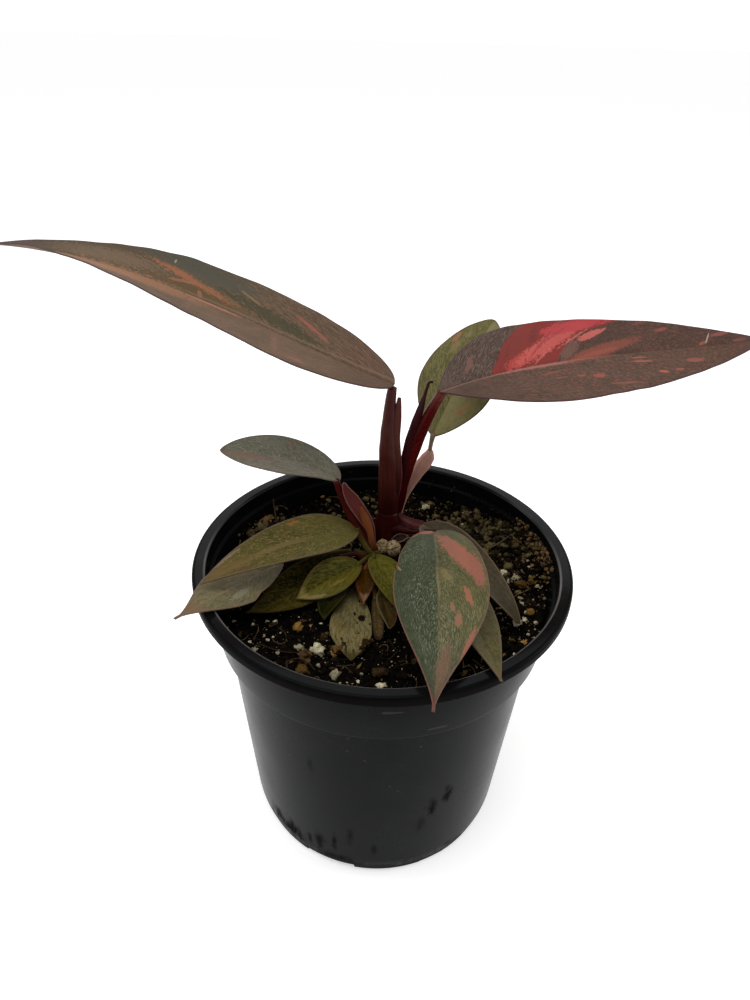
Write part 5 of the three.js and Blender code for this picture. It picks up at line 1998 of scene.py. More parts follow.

# The near, left half is lighter than the far half: partly its own grey-brown, partly painted sheen.
UPPER_LEFT_FINISH = BladeFinish(
    left="#644e3c", right="#423c2b", deep="#4a3f2e", pale="#765d4a", margin="#4a3434", rib="#77624f",
    tip="#5c4a48", base="#4e3a2e", under="#644b3e", margin_width=0.8, rib_width=0.7, rib_shift=1.6,
    rib_reach=0.75, tip_from=0.84, base_to=0.2,
    flecks=(
        Flecks("#5d4531", 0.5, 1.5, 1.6, 0.36, (-0.1, 0.75), (0, 1.1)),
        Flecks("#8f6957", 0.5, 0.5, 2.2, 0.45, (-0.1, 0.42), (0, 1.1)),
        Flecks("#6a573a", 0.5, 1.1, 1.9, 0.36, (0.3, 0.85), (0, 0.75)),
        Flecks("#86604c", 0.45, 0.8, 1.6, 0.33, (-0.1, 1), (-1.1, 0)),
        Flecks("#4f4430", 0.5, 1.4, 1.6, 0.33, (-0.1, 0.65), (-1.1, 0)),
    ),
    marks=(
        Streak(64, 12, 42, 9, 4, "#4a493e", 0.75, 0.8), Streak(38, 5, 32, 5, 10, "#3a3a27", 0.7, 0.7),
        Streak(62, 2.4, 34, 4, 3, "#5c4629", 0.75, 0.8), Streak(88, 5, 34, 7, -4, "#78614d", 0.6, 1),
        Streak(79, -3.4, 46, 9.5, 2, "#8a6145", 0.95, 0.6),
        Streak(86, -4.4, 24, 5.5, 3, "#94694a", 0.7, 0.7), Streak(54, -1.2, 18, 1.9, -2, "#9a6752"),
        Streak(64, 6.4, 28, 2.7, 12, "#98603f", 0.7, 0.9),
        Streak(66, 4.6, 8, 1.5, -18, "#8f5c45", 0.8, 0.6),
        Streak(59.2, 1.6, 4, 1.4, 60, "#96634d", 0.6, 0.6),
        Streak(28, 8, 13, 1.2, 22, "#9a5447", 0.75, 0.7), Streak(47, 9, 9, 1, 20, "#7c6249", 0.8, 0.6),
        Streak(70, 8.6, 14, 1.6, 8, "#93593f", 0.45, 0.9), Streak(33, -8.5, 9, 2, 70, "#8c5e50", 0.35, 0.9),
        Streak(25.5, -12, 5, 2, 0, "#8a564a", 0.7, 0.8),
        Streak(71.6, 11.6, 1.8, 0.6, 75, "#8f8975", 0.9, 0.4),
    ),
)
UPPER_RIGHT_FINISH = BladeFinish(
    left="#4b352b", right="#4d372b", deep="#382b22", pale="#5f4639", margin="#482e31", rib="#7d5a52",
    tip="#523c38", base="#62453a", under="#563128", brush=0.3, rib_width=0.6, rib_shift=0.5, rib_reach=0.62,
    rib_strength=0.7, tip_from=0.9, base_to=0.06, streaks=0.15, grain=0.45,
    flecks=(
        Flecks("#4b4030", 0.5, 1.4, 1.6, 0.36, (-0.1, 0.9), (0, 1.1)),
        Flecks("#87584a", 0.42, 0.5, 1.8, 0.36, (0.1, 1), (0, 1.1)),
        Flecks("#a05c4b", 0.22, 0.55, 1.6, 0.48, (0.25, 1), (0, 1.1)),
        Flecks("#4c3d34", 0.7, 2, 3.4, 0.48, (-0.1, 0.38), (-1.1, 0)),
        Flecks("#8c7e73", 0.4, 0.28, 4.9, 0.42, (-0.1, 0.4), (-1.1, 0)),
        Flecks("#2a231c", 0.45, 0.35, 4.3, 0.42, (-0.1, 0.4), (-1.1, 0)),
        Flecks("#84564b", 0.4, 0.6, 1.9, 0.36, (0.6, 1.05), (-1.1, 0)),
    ),
    marks=(
        Streak(13, -6.6, 8, 1.6, -52, "#7a5248", 0.7, 0.7),
        Streak(22, -5.5, 11, 1.6, -55, "#332b23", 0.8, 0.6),
        VeinBand(16.5, 38, 9, Side.LEFT, "#7d2c26", 0.95, 0.01, 1.2, 1.2),
        Streak(31, 0.8, 30, 1.7, 1, "#a05f55", 0.9), Streak(27, -3.2, 13, 4.4, -28, "#a6403b", 0.9, 0.6),
        Streak(40, -9, 34, 5.4, -27, "#b7534d", 0.9), Streak(50, -15, 26, 5.4, -8, "#ab3c3f", 0.95),
        Streak(30, -11, 16, 4.4, -50, "#74302a", 0.8, 0.7),
        Streak(24, -6, 14, 0.9, -50, "#6b2c28", 0.6, 0.8),
        Streak(36, -8, 16, 0.9, -40, "#8f3431", 0.6, 0.8),
        Streak(43, -12, 18, 1.1, -30, "#92373a", 0.6, 0.8),
        Streak(47, -9, 14, 0.8, -28, "#c87069", 0.5, 0.7),
        Streak(34, -3, 12, 0.7, -35, "#c4665f", 0.5, 0.7),
        Streak(37, -13.5, 8, 3, -50, "#6b2c28", 0.8, 0.7),
        Streak(44, -4.4, 13, 3.4, -40, "#6d4d43", 0.85, 0.6),
        Streak(53.5, -2.6, 30, 4.8, -15, "#7d4436", 0.95, 0.45),
        Streak(50, -1.2, 18, 2, -12, "#8d4c3f", 0.8, 0.6),
        Streak(53.5, -10, 12.5, 2.7, -23, "#b65a53", 1, 0.4), Streak(45.5, 10, 4.4, 2.4, 0, "#8f4c3c", 0.9),
        Streak(40, 9, 3, 1.2, 0, "#8a4b3c", 0.8), Streak(34, 8.6, 4, 0.9, 0, "#85493a", 0.7, 0.6),
        Streak(51, 15, 11, 1.2, 2, "#84503f", 0.7, 0.7), Streak(33, 5.4, 10, 1.2, -6, "#85493a", 0.6, 0.8),
        Streak(66.5, 11, 3.2, 1.7, 20, "#9f5740"), Streak(72, 10.4, 3.4, 1.3, 0, "#95503e", 0.9),
        Streak(79.5, 6.4, 6.5, 2.2, 0, "#8c5045", 0.9), Streak(63, 4.8, 7, 1.1, 6, "#955644", 0.9),
        Streak(63, 2.8, 6, 1.1, 4, "#8f5242", 0.9), Streak(76, -9, 5, 1.6, -10, "#8b4b42", 0.8, 0.6),
        Streak(71, -13, 6, 1, -10, "#85483f", 0.7, 0.6), Streak(93, -4.6, 6, 1.8, -8, "#8b4f4a", 0.8, 0.6),
        Streak(98, -1.2, 5, 1.6, -8, "#814a44", 0.8, 0.6),
        Streak(86, -1.4, 3, 1.2, -20, "#8f5442", 0.8, 0.6),
        Streak(88.4, -3.2, 5.6, 0.45, -55, "#a3948a", 1, 0.3),
    ),
)
BACK_FINISH = BladeFinish(
    left="#58552f", right="#78744b", deep="#4b4f2b", pale="#7a754b", margin="#5b4c3c", rib="#7b724b",
    tip="#565031", base="#716b46", under="#594d34", tip_from=0.95, mottle=0.6,
    flecks=(Flecks("#897c4a", 0.45, 0.8, 1.3, 0.42), Flecks("#95784b", 0.2, 0.95, 0.45, 0.75)),
    marks=(
        Streak(11, 5.2, 8, 2.2, 30, "#8a7246", 0.9, 0.8),
        Streak(9.6, 4.6, 2.4, 1.6, 30, "#96633f", 0.9, 0.6),
        Streak(32, -7.2, 4.5, 1.2, 12, "#96644c", 0.95),
        Streak(34.5, -4.2, 3, 1.2, 20, "#7d6d4c", 0.9, 0.6),
        Streak(29, -6, 5, 1.6, 10, "#7d6b46", 0.9, 0.7),
    ),
)
# Its silver grey is partly the leaf's own colour and partly painted sheen.
SIDE_FINISH = BladeFinish(
    left="#746e5f", right="#73725e", deep="#5b5c4a", pale="#989586", margin="#6f5f58", rib="#8e8776",
    tip="#6f5e55", base="#706b56", under="#685b4f", tip_from=0.93, rib_width=0.4, streaks=0.25,
    flecks=(
        Flecks("#a09f8e", 0.42, 0.4, 1.9, 0.42), Flecks("#4b4d3d", 0.4, 0.6, 1.9, 0.36),
        Flecks("#988271", 0.36, 0.5, 1.9, 0.36, (-0.1, 1.1), (-1.1, 0)),
    ),
    marks=(
        Streak(30, -2.2, 18, 2.2, 6, "#886d5c", 0.85, 0.6), Streak(19.2, 6.3, 2.2, 1.2, 0, "#96604f", 0.9),
        Streak(24.5, 4.6, 7, 2, -20, "#7b7c6c", 0.8, 0.9), Streak(14, 6.2, 7, 1.2, 0, "#7b7c6c", 0.7, 0.9),
    ),
)
OLIVE_FINISH = BladeFinish(
    left="#454217", right="#4d481c", deep="#343410", pale="#61592f", margin="#63503f", rib="#6c5d34",
    tip="#665133", base="#605c28", under="#5b5126", base_to=0.5, tip_from=0.97, rib_width=0.7,
    rib_strength=0.35, mottle=0.6, streaks=0.23, grain=0.55,
    flecks=(
        Flecks("#6b5e34", 0.55, 0.5, 1.6, 0.42), Flecks("#8f7448", 0.2, 0.95, 0.45, 0.8, (0.05, 1)),
        Flecks("#94704a", 0.14, 1.6, 0.3, 0.7, (0, 0.7)), Flecks("#2b2c0c", 0.45, 0.8, 1.6, 0.36),
    ),
    marks=(
        Streak(27, 0.3, 22, 1.6, 0, "#6d5f3a", 0.8, 0.8), Streak(20, 6, 4.4, 1, 0, "#8a5c2c", 0.9, 0.7),
        Streak(44, 0.2, 22, 3, 0, "#6b5532", 0.7, 0.8), Streak(46, 2.6, 14, 1, -10, "#7d6c5c", 0.9),
        Streak(41, -2.6, 8, 0.7, 10, "#5c3526", 0.7, 0.4),
    ),
)
OVER_RIM_FINISH = BladeFinish(
    left="#55502e", right="#736546", deep="#4b492e", pale="#81765a", margin="#6e5a4a", rib="#817253",
    tip="#715841", base="#575231", under="#645a3f", tip_from=0.76, streaks=0.25,
    flecks=(
        Flecks("#817a64", 0.5, 0.4, 2.2, 0.42), Flecks("#80674b", 0.36, 0.7, 1.9, 0.36),
        Flecks("#3a3921", 0.45, 0.8, 1.9, 0.36),
    ),
    marks=(Streak(24, -3.4, 9, 2, -6, "#7b7561", 0.8, 0.8), Streak(21, 1, 10, 1.2, 6, "#787159", 0.8, 0.8)),
)
DARK_FINISH = BladeFinish(
    left="#352c05", right="#181401", deep="#100d01", pale="#453a09", margin="#33280f", rib="#332a04",
    tip="#3d3413", base="#1b1501", under="#28210a", shine=0.04, tip_from=0.85, mottle=0.7, grain=0.6,
    flecks=(
        Flecks("#524b1f", 0.42, 0.6, 1.6, 0.42, (0.35, 1)),
        Flecks("#4f4a13", 0.5, 0.9, 1.6, 0.42, (0, 0.7), (-1.1, 0.2)),
    ),
)
SMALL_GREEN_FINISH = BladeFinish(
    left="#4e470e", right="#332e02", deep="#292b04", pale="#615a1c", margin="#544222", rib="#5a521a",
    tip="#7d7038", base="#2f2f05", under="#484116", shine=0.07, tip_from=0.8, rib_strength=0.3, gloss=0.36,
    mottle=0.7, streaks=0.23, grain=0.35,
    flecks=(Flecks("#6b6424", 0.5, 0.7, 1.6, 0.42), Flecks("#232604", 0.45, 0.9, 1.3, 0.36, (-0.1, 0.6))),
    marks=(
        Streak(9, -2.4, 5, 1, 4, "#7b5f38", 0.7, 0.7), Streak(17, -2.6, 7, 1.4, 24, "#807346", 0.7, 0.7),
    ),
)
TINY_GREEN_FINISH = BladeFinish(
    left="#1f1d01", right="#111101", deep="#090a00", pale="#2b2a04", margin="#2b2b0a", rib="#272602",
    tip="#2b2a08", base="#0d0d01", under="#191802", shine=0.03, gloss=0.36, grain=0.6,
)
FADED_FINISH = BladeFinish(
    left="#675a32", right="#706337", deep="#433c1f", pale="#797050", margin="#54492e", rib="#6b6141",
    tip="#40351d", base="#514727", under="#544c2e", shine=0.03, line_strength=0.02, brush=0.04,
    tip_from=0.84, base_to=0.3, base_strength=0.8, margin_strength=0.2, streaks=0.12, gloss=0.55, grain=0.5,
    flecks=(
        Flecks("#8a8264", 0.6, 2.6, 0.24, 0.36, (0.15, 1)),
        Flecks("#33290f", 0.3, 2.6, 0.2, 0.55, (0.6, 1.1)),
        Flecks("#453f1e", 0.5, 0.9, 1.6, 0.36, (-0.1, 0.6)),
    ),
    marks=(
        Streak(13.3, -2.9, 2.6, 2.1, 0, "#120a04", 1.2, 0.3),
        Streak(11.6, -0.8, 1.8, 0.7, -10, "#1a1006", 1.1, 0.3),
        Streak(15.4, -1.8, 1.6, 0.5, 0, "#33260f", 0.9), Streak(22.4, 2.5, 1.4, 0.7, 0, "#291e10", 0.9),
        Streak(19.4, -2.3, 0.9, 0.6, 0, "#2d2111", 0.9, 0.4),
        Streak(25, -3.3, 4.4, 0.8, 0, "#2b1d0c", 0.9, 0.6),
        Streak(26.5, 1.4, 5.4, 0.7, 0, "#2b200d", 0.9, 0.6),
        Streak(27.5, -0.8, 4.4, 0.5, 0, "#2b200d", 0.9, 0.6),
    ),
)
RUST_FINISH = BladeFinish(
    left="#3a2303", right="#452802", deep="#251401", pale="#5b3b0c", margin="#5c2f1c", rib="#4f3507",
    tip="#86684a", base="#291602", under="#432a09", shine=0.05, tip_from=0.7, gloss=0.4,
)
CENTRE_FINISH = BladeFinish(
    left="#4e4a11", right="#49450a", deep="#323106", pale="#66601e", margin="#564a1e", rib="#5d5917",
    tip="#5b531f", base="#3a3708", under="#4c4917", shine=0.07, gloss=0.36, mottle=0.7, grain=0.6,
    flecks=(Flecks("#6d6529", 0.5, 0.6, 1.6, 0.42), Flecks("#2a2b09", 0.4, 0.8, 1.3, 0.36)),
)
FRONT_FINISH = BladeFinish(
    left="#4b4b30", right="#323720", deep="#2b3021", pale="#50523d", margin="#774f47", rib="#6b6347",
    tip="#663c34", base="#444133", under="#644537", margin_width=0.42, margin_strength=0.7, rib_width=0.4,
    rib_shift=0.1, rib_reach=0.8, tip_from=0.9, base_to=0.06, streaks=0.12, grain=0.5,
    flecks=(
        Flecks("#465039", 0.5, 1, 1.3, 0.36, (-0.1, 1), (0, 1.1)),
        Flecks("#858b79", 0.32, 0.95, 0.45, 0.5, (0.36, 0.85), (-0.35, 0.7)),
        Flecks("#858b79", 0.28, 0.8, 0.45, 0.5, (0.08, 0.32), (0.3, 1)),
        Flecks("#707767", 0.22, 0.45, 1.3, 0.42, (0.1, 0.9), (0, 1)),
        Flecks("#5d5c2e", 0.55, 0.9, 1.4, 0.42, (0, 0.75), (-1.1, 0)),
        Flecks("#8a7550", 0.35, 0.5, 1.3, 0.5, (0.1, 0.95), (-1.1, 0.02)),
        Flecks("#858a77", 0.26, 0.9, 0.45, 0.5, (0.55, 0.95), (-1.1, 0)),
    ),
    marks=(
        Streak(15.5, -6.2, 27, 5.6, -24, "#925a48"), Streak(23, -10.3, 15, 3.8, -8, "#8b5747"),
        Streak(10, -3.4, 12, 2.4, -14, "#8a5747", 0.95, 0.7),
        Streak(24.5, -2.2, 6, 2.2, -20, "#776a45", 0.8, 0.9),
        Streak(33, -7.6, 7.6, 1.9, -14, "#8f6046", 1, 0.6),
        Streak(36.5, -3.5, 3.4, 1.3, -10, "#86624a", 1, 0.6),
        Streak(41, -4.9, 5, 1.9, 0, "#86604a", 1, 0.6), Streak(49, -7.3, 12, 1.5, 18, "#925a48"),
        Streak(55, -1.5, 14, 3, 8, "#775645", 0.6, 0.9), Streak(1.6, 2.8, 5.5, 2.6, 78, "#95594a"),
        Streak(4.4, 6.4, 6, 1.3, 42, "#8d5a4c", 0.9), Streak(22.9, 10.5, 2.2, 0.9, -30, "#7f6850", 1, 0.4),
        Streak(27, 0.1, 12, 0.7, -3, "#867350", 0.7, 0.7),
    ),
)
BROWN_FINISH = BladeFinish(
    left="#3e3422", right="#39321e", deep="#292415", pale="#4f4732", margin="#6b5645", rib="#4f4732",
    tip="#443b28", base="#403020", under="#493c28", grain=0.5,
    flecks=(Flecks("#5c523d", 0.45, 0.5, 1.6, 0.36), Flecks("#2a2c1d", 0.4, 0.8, 1.6, 0.36)),
)
STRIPED_FINISH = BladeFinish(
    left="#45401e", right="#433c1c", deep="#302d11", pale="#685e3a", margin="#63523f", rib="#5e5531",
    tip="#5b4f30", base="#373216", under="#4c4425", streaks=0.35, rib_strength=0.3, grain=0.5,
    flecks=(Flecks("#6b633f", 0.5, 0.4, 3.4, 0.42), Flecks("#565020", 0.45, 0.8, 3.1, 0.36)),
)
STRIP_FINISH = BladeFinish(
    left="#443315", right="#4a3816", deep="#1f1506", pale="#62512a", margin="#291c0b", rib="#513f1b",
    tip="#1e1406", base="#2a1e0a", under="#34260f", streaks=0.35, gloss=0.6, grain=0.6,
    flecks=(Flecks("#171005", 0.4, 0.4, 2.2, 0.48), Flecks("#695833", 0.4, 0.4, 2.2, 0.42)),
)
GREY_FINISH = BladeFinish(
    left="#4b3817", right="#403311", deep="#221a08", pale="#584a23", margin="#5c4e33", rib="#524521",
    tip="#3c311a", base="#2a210b", under="#342b15", shine=0.06, grain=0.6,
)
DRY_FINISH = BladeFinish(
    left="#20110c", right="#20110c", deep="#150906", pale="#3c2a20", margin="#7d695a", rib="#3c2a20",
    tip="#554335", base="#20110c", under="#2c1d14", margin_width=0.45, margin_strength=0.9, gloss=0.6,
)


def stalk(*knots: tuple[float, ...], width: float = 1.5, **options: object) -> Stalk:
    """A thin leaf stalk through points of x, y and z.

    Args:
        knots: The points, each with its own width and depth if it has five numbers.
        width: The width where a knot gives none.
        options: Other fields of the stalk.

    Returns:
        The stalk.
    """
    full = tuple(k if len(k) == 5 else (k[0], k[1], k[2], width, width * 0.92) for k in knots)
    settings = {"rings": 36, "sides": 16, "reach_end": 0.8, **options}
    return Stalk(full, **settings)


LEAVES = (
    Leaf("upper_left_blade", "upper_left_leaf_blade", UPPER_LEFT, UPPER_LEFT_FINISH),
    Leaf("upper_right_blade", "upper_right_leaf_blade", UPPER_RIGHT, UPPER_RIGHT_FINISH),
    Leaf("back_green_blade", "back_leaf_blade", BACK_GREEN, BACK_FINISH),
    Leaf("side_grey_blade", "side_leaf_blade", SIDE_LEFT, SIDE_FINISH),
    Leaf("olive_blade", "olive_leaf_blade", LEFT_OLIVE, OLIVE_FINISH),
    Leaf("front_variegated_blade", "front_leaf_blade", FRONT, FRONT_FINISH),
    Leaf("right_brown_blade", "right_leaf_blade", RIGHT_BROWN, BROWN_FINISH),
    Leaf(
        "leaf_over_rim", "left_leaf_over_rim", OVER_RIM, OVER_RIM_FINISH,
        stalk(
            (-3.2, 11.2, 84.6), (-9, 12.6, 85.4), (-17, 11.4, 85), (-24, 8.2, 85.4), (-30.8, 3.8, 86.9),
            width=1.8,
        ),
        OLIVE_STALK,
    ),
    Leaf(
        "dark_leaf", "dark_olive_leaf", DARK_OLIVE, DARK_FINISH,
        stalk((-3.2, 10, 84.6), (-5.7, 9, 85.3), (-8, 9.2, 87), (-12, 7.2, 87.6)), RED_STALK,
    ),
    Leaf(
        "small_leaf", "small_green_leaf", SMALL_GREEN, SMALL_GREEN_FINISH,
        stalk((-3, 9.4, 86.8), (-4.7, 5.2, 88.8), (-7, 0.2, 90.1)), GREEN_STALK,
    ),
    Leaf(
        "tiny_leaf", "tiny_green_leaf", TINY_GREEN, TINY_GREEN_FINISH,
        stalk((-3.8, 9, 83.6), (-8.2, 4.6, 83.4), (-10.6, -2.8, 83.7), width=1.4), GREEN_STALK,
    ),
    Leaf(
        "faded_blade", "faded_leaf", FADED, FADED_FINISH,
        stalk((-3.2, 8.4, 83.8), (-5.8, 4.2, 83.6), (-7.3, -1.8, 83.4)), OLIVE_STALK,
    ),
    Leaf(
        "rust_coloured_bract", "rust_bract", RUST, RUST_FINISH,
        stalk((-3.2, 9.1, 85.2), (-4.2, 5.6, 86.8), (-4.9, 1.6, 87.8)), AMBER,
    ),
    Leaf(
        "centre_leaf", "centre_green_leaf", CENTRE_GREEN, CENTRE_FINISH,
        stalk((-2, 9.2, 87.4), (-2.7, 6.6, 89.4), (-2.7, 3.8, 90.4)), GREEN_STALK,
    ),
    Leaf(
        "striped_leaf", "front_right_leaf", FRONT_RIGHT, STRIPED_FINISH,
        stalk((3, 15.6, 87.8), (8, 12.8, 88.6), (13.4, 8, 90), (17.3, 2.2, 90.6), width=1.9), RED_STALK,
    ),
    Leaf(
        "dried_strip", "dried_strip_leaf", DRIED_STRIP, STRIP_FINISH,
        stalk((-2.4, 8.2, 83.6), (-2.4, 1, 84.2), (-1.7, -8.2, 85), width=1.3), OLIVE_STALK,
    ),
    Leaf(
        "grey_leaf", "small_grey_leaf", SMALL_GREY, GREY_FINISH,
        stalk((-1.4, 8.4, 85), (0, 2, 86.2), (-0.3, -8, 86.6), width=1.4), OLIVE_STALK,
    ),
    Leaf("dry_scale", "dry_leaf_base", DRY_SKIN, DRY_FINISH),
)

BOAT_SHEATH = Stalk(
    (
        (-3.3, 12.4, 89, 2, 1.2), (-3.7, 13.1, 91.8, 2.2, 1.2), (-4.3, 13.5, 94.2, 2.8, 1.2),
        (-5.3, 13.9, 96.2, 3.4, 1.2), (-6.6, 14.2, 98.4, 3.8, 1.1), (-8.2, 14.6, 100.8, 4, 1),
        (-9.9, 14.9, 103.5, 3.7, 0.9), (-11.5, 15.1, 106.3, 2.3, 0.8), (-12.3, 15.2, 108.6, 0.9, 0.7),
    ),
    facing=(0.85, 0.29, 0.44), section=Section.FLAP, rings=72, sides=28, curl=-0.9,
)
LEFT_WING = Stalk(
    (
        (2.6, 16.6, 101, 2.2, 1), (3.4, 16.7, 110, 2.7, 1), (2.8, 16.7, 117, 2.8, 1),
        (2.2, 16.6, 123.5, 2.8, 1), (2.3, 16.4, 129.5, 2.8, 1), (2.7, 16.1, 133.4, 1.7, 0.9),
        (2.9, 15.9, 136.6, 0.8, 0.8),
    ),
    section=Section.FLAP, rings=80, curl=0.2,
)
RIGHT_FLAP = Stalk(
    (
        (4.1, 18, 96.2, 1.6, 1.2), (6, 17, 95, 2.6, 1.2), (7.8, 16.1, 94.5, 3.2, 1.1),
        (9.8, 15, 94.5, 3.4, 1), (11.7, 13.9, 95, 3, 0.9), (12.9, 13.3, 95.2, 1.6, 0.8),
    ),
    facing=(0, 0.55, 0.83), section=Section.FLAP, rings=44, curl=-0.3, reach_end=0.7,
)

CROWN = Stalk(
    (
        (0.8, 17, 77, 6.4, 6), (0.8, 17, 84, 7.4, 6.6), (0.7, 17, 90, 8.2, 7), (0.8, 17, 94.4, 7.4, 6.2),
        (1, 17, 97.6, 6, 4.8),
    ),
    sides=40, uneven=0.1, reach_end=0.3,
)
LOW_CROWN = Stalk(
    (
        (-1.7, 9.8, 78, 4.4, 4.2), (-1.7, 9.8, 83, 4.6, 4.4), (-1.9, 9.9, 86.4, 4.2, 4),
        (-2.2, 10, 88.2, 2.6, 2.4),
    ),
    sides=28, uneven=0.12,
)
UPPER_LEFT_STALK = Stalk(
    (
        (1, 17, 97.9, 6, 4.6), (0.9, 17, 104, 5.9, 4.6), (0.6, 16.9, 111, 5.4, 4.3),
        (0.2, 16.6, 118, 4.8, 4), (0.1, 16.5, 124.5, 4.2, 3.6), (0.3, 16.4, 130.5, 3.5, 3.1),
        (0.6, 16.2, 136, 2.9, 2.7), (0.9, 16.1, 139.3, 2.5, 2.3),
    ),
    section=Section.CHANNELLED, rings=90, sides=40, groove_at=318, groove=0.06, reach_start=0.3,
    reach_end=0.2,
)
UPPER_RIGHT_STALK = Stalk(
    (
        (1.6, 20, 91.5, 4.2, 3.4), (3.9, 21.2, 98.5, 4.3, 3.4), (4.7, 21.4, 105.2, 4.4, 3.5),
        (6, 20.8, 111.4, 4.4, 3.6), (7.5, 20, 117.4, 4.2, 3.7), (9.3, 18.9, 124, 3.7, 3.5),
        (11.2, 17.6, 130, 3.3, 3.1), (12.9, 16.2, 135, 2.9, 2.7), (14.3, 14.6, 138.9, 2.6, 2.4),
    ),
    section=Section.CHANNELLED, rings=90, sides=36, groove_at=300, groove=0.15, reach_end=0.5,
)
RIGHT_WING = Stalk(
    (
        (5, 19.6, 107, 1.6, 1.4), (5.3, 19.2, 112, 2.4, 1.8), (5.9, 18.8, 117.3, 2.8, 2),
        (6.8, 18.4, 122.5, 3, 2), (7.9, 17.9, 127.6, 2.8, 1.9), (8.8, 17.4, 131.9, 2.2, 1.6),
        (9.4, 17.2, 134.6, 1.6, 1.3), (9.9, 17, 137, 1, 1), (10.4, 16.8, 139.2, 0.9, 0.9),
        (11, 16.6, 141.2, 0.8, 0.8), (11.9, 16.4, 141.4, 0.7, 0.7),
    ),
    section=Section.FLAP, rings=90, curl=-0.3,
)
BACK_SHEATH = Stalk(
    (
        (3.4, 20.3, 88.6, 1.8, 1.6), (4.9, 23.2, 94, 1.8, 1.6), (6.1, 24.2, 98.6, 2.1, 1.6),
        (7.6, 24.5, 102.6, 2.7, 1.9), (9.3, 24.6, 106.6, 3.6, 2.4), (11.1, 24.6, 110.2, 4.7, 2.8),
        (12.5, 24.6, 113, 4.2, 2.4), (13.1, 24.6, 115.4, 2, 1.6),
    ),
    section=Section.CHANNELLED, rings=70, sides=28, groove=0.18,
)
BACK_STALK = Stalk(
    ((13, 24.6, 115.8, 1.3, 1.3), (13.2, 24.5, 118, 1.3, 1.3), (13.5, 24.3, 120.6, 1.7, 1.4)), rings=24,
    sides=18, reach_start=0.8, reach_end=0.6,
)
SIDE_STALK = Stalk(
    (
        (-3, 11.4, 86.6, 2.6, 2.4), (-5.2, 13.2, 89.4, 2.8, 2.4), (-7.6, 14.6, 92.8, 3.1, 2.5),
        (-9.8, 15.4, 96.6, 3.1, 2.6), (-11.9, 15.9, 101.2, 2.6, 2.4), (-13.5, 16.1, 105.3, 2.2, 2.1),
        (-14.4, 16, 108.4, 2, 1.9),
    ),
    rings=60, sides=28, reach_end=0.8,
)
AMBER_SCALE = Stalk(
    (
        (-1.6, 9.6, 86.2, 2, 1.6), (-2.7, 10, 89.2, 1.9, 1.5), (-3.6, 11, 91.9, 1.8, 1.4),
        (-4.1, 11.8, 94.2, 1.9, 1.3), (-4.9, 12.3, 96.2, 2.5, 1.2), (-5.8, 12.8, 98.4, 2.5, 1.1),
        (-6.5, 13, 100, 1.7, 0.9), (-7, 13.1, 101.7, 0.8, 0.7),
    ),
    facing=(0.85, 0.2, 0.44), section=Section.FLAP, rings=60, curl=-0.6,
)
OLIVE_LEAF_STALK = Stalk(
    (
        (-2.2, 9.4, 87.3, 2.1, 1.8), (-4.3, 10.6, 88, 2.1, 1.8), (-6, 12.2, 89.4, 2, 1.8),
        (-7.1, 13.1, 91.2, 1.9, 1.7), (-7.9, 13.5, 92.9, 1.8, 1.6),
    ),
    facing=(0.3, 0.4, 0.86), rings=40, sides=20, reach_end=0.6,
)
FRONT_STALK = Stalk(
    (
        (1.6, 16.8, 92.2, 4.6, 4.4), (3.6, 15.9, 92.5, 4.5, 4), (5.1, 14.8, 93.4, 3.8, 3.4),
        (6.6, 13.6, 93.8, 3, 2.6), (8.2, 12.5, 94.2, 2.1, 1.9), (9.9, 11.4, 94.9, 1.7, 1.6),
        (12.4, 9.8, 96.2, 1.6, 1.5), (14.8, 7.7, 97.6, 1.6, 1.4),
    ),
    facing=(0, 0.55, 0.83), rings=60, sides=26, reach_end=0.7,
)

SHOOTS = (
    Shoot("crown_stem", "stem", ((CROWN, MAROON),)),
    Shoot("low_shoot", "side_shoot", ((LOW_CROWN, OLIVE_STALK),)),
    Shoot("upper_left_petiole", "upper_left_leaf_petiole", (
        (UPPER_LEFT_STALK, BROWN_RED), (LEFT_WING, WING_BROWN), (LEFT_WING.edge(Side.RIGHT, 0.4), RED_EDGE),
    )),
    Shoot("upper_right_petiole", "upper_right_leaf_petiole", (
        (UPPER_RIGHT_STALK, DEEP_RED), (RIGHT_WING, WING_RED),
    )),
    Shoot("back_sheath", "back_leaf_sheath", ((BACK_SHEATH, DUSTY_PINK_WITH_PAINTED_LIGHT),)),
    Shoot("back_petiole", "back_leaf_petiole", ((BACK_STALK, PALE_TAN),)),
    Shoot("side_petiole", "side_leaf_petiole", (
        (SIDE_STALK, RED_STALK), (BOAT_SHEATH, BOAT_RED), (BOAT_SHEATH.edge(Side.LEFT, 0.32), PINK_EDGE),
        (BOAT_SHEATH.edge(Side.RIGHT, 0.32), PINK_EDGE),
    )),
    Shoot("amber_coloured_bract", "amber_bract", ((AMBER_SCALE, AMBER),)),
    Shoot("olive_petiole", "olive_leaf_petiole", ((OLIVE_LEAF_STALK, OLIVE_STALK),)),
    Shoot("front_petiole", "front_leaf_petiole", ((FRONT_STALK, COLLAR_RED),)),
    Shoot("right_petiole", "right_leaf_petiole", (
        (RIGHT_FLAP, FLAP_MAROON), (RIGHT_FLAP.edge(Side.LEFT, 0.3), RED_EDGE),
        (RIGHT_FLAP.edge(Side.RIGHT, 0.3), RED_EDGE),
    )),
)
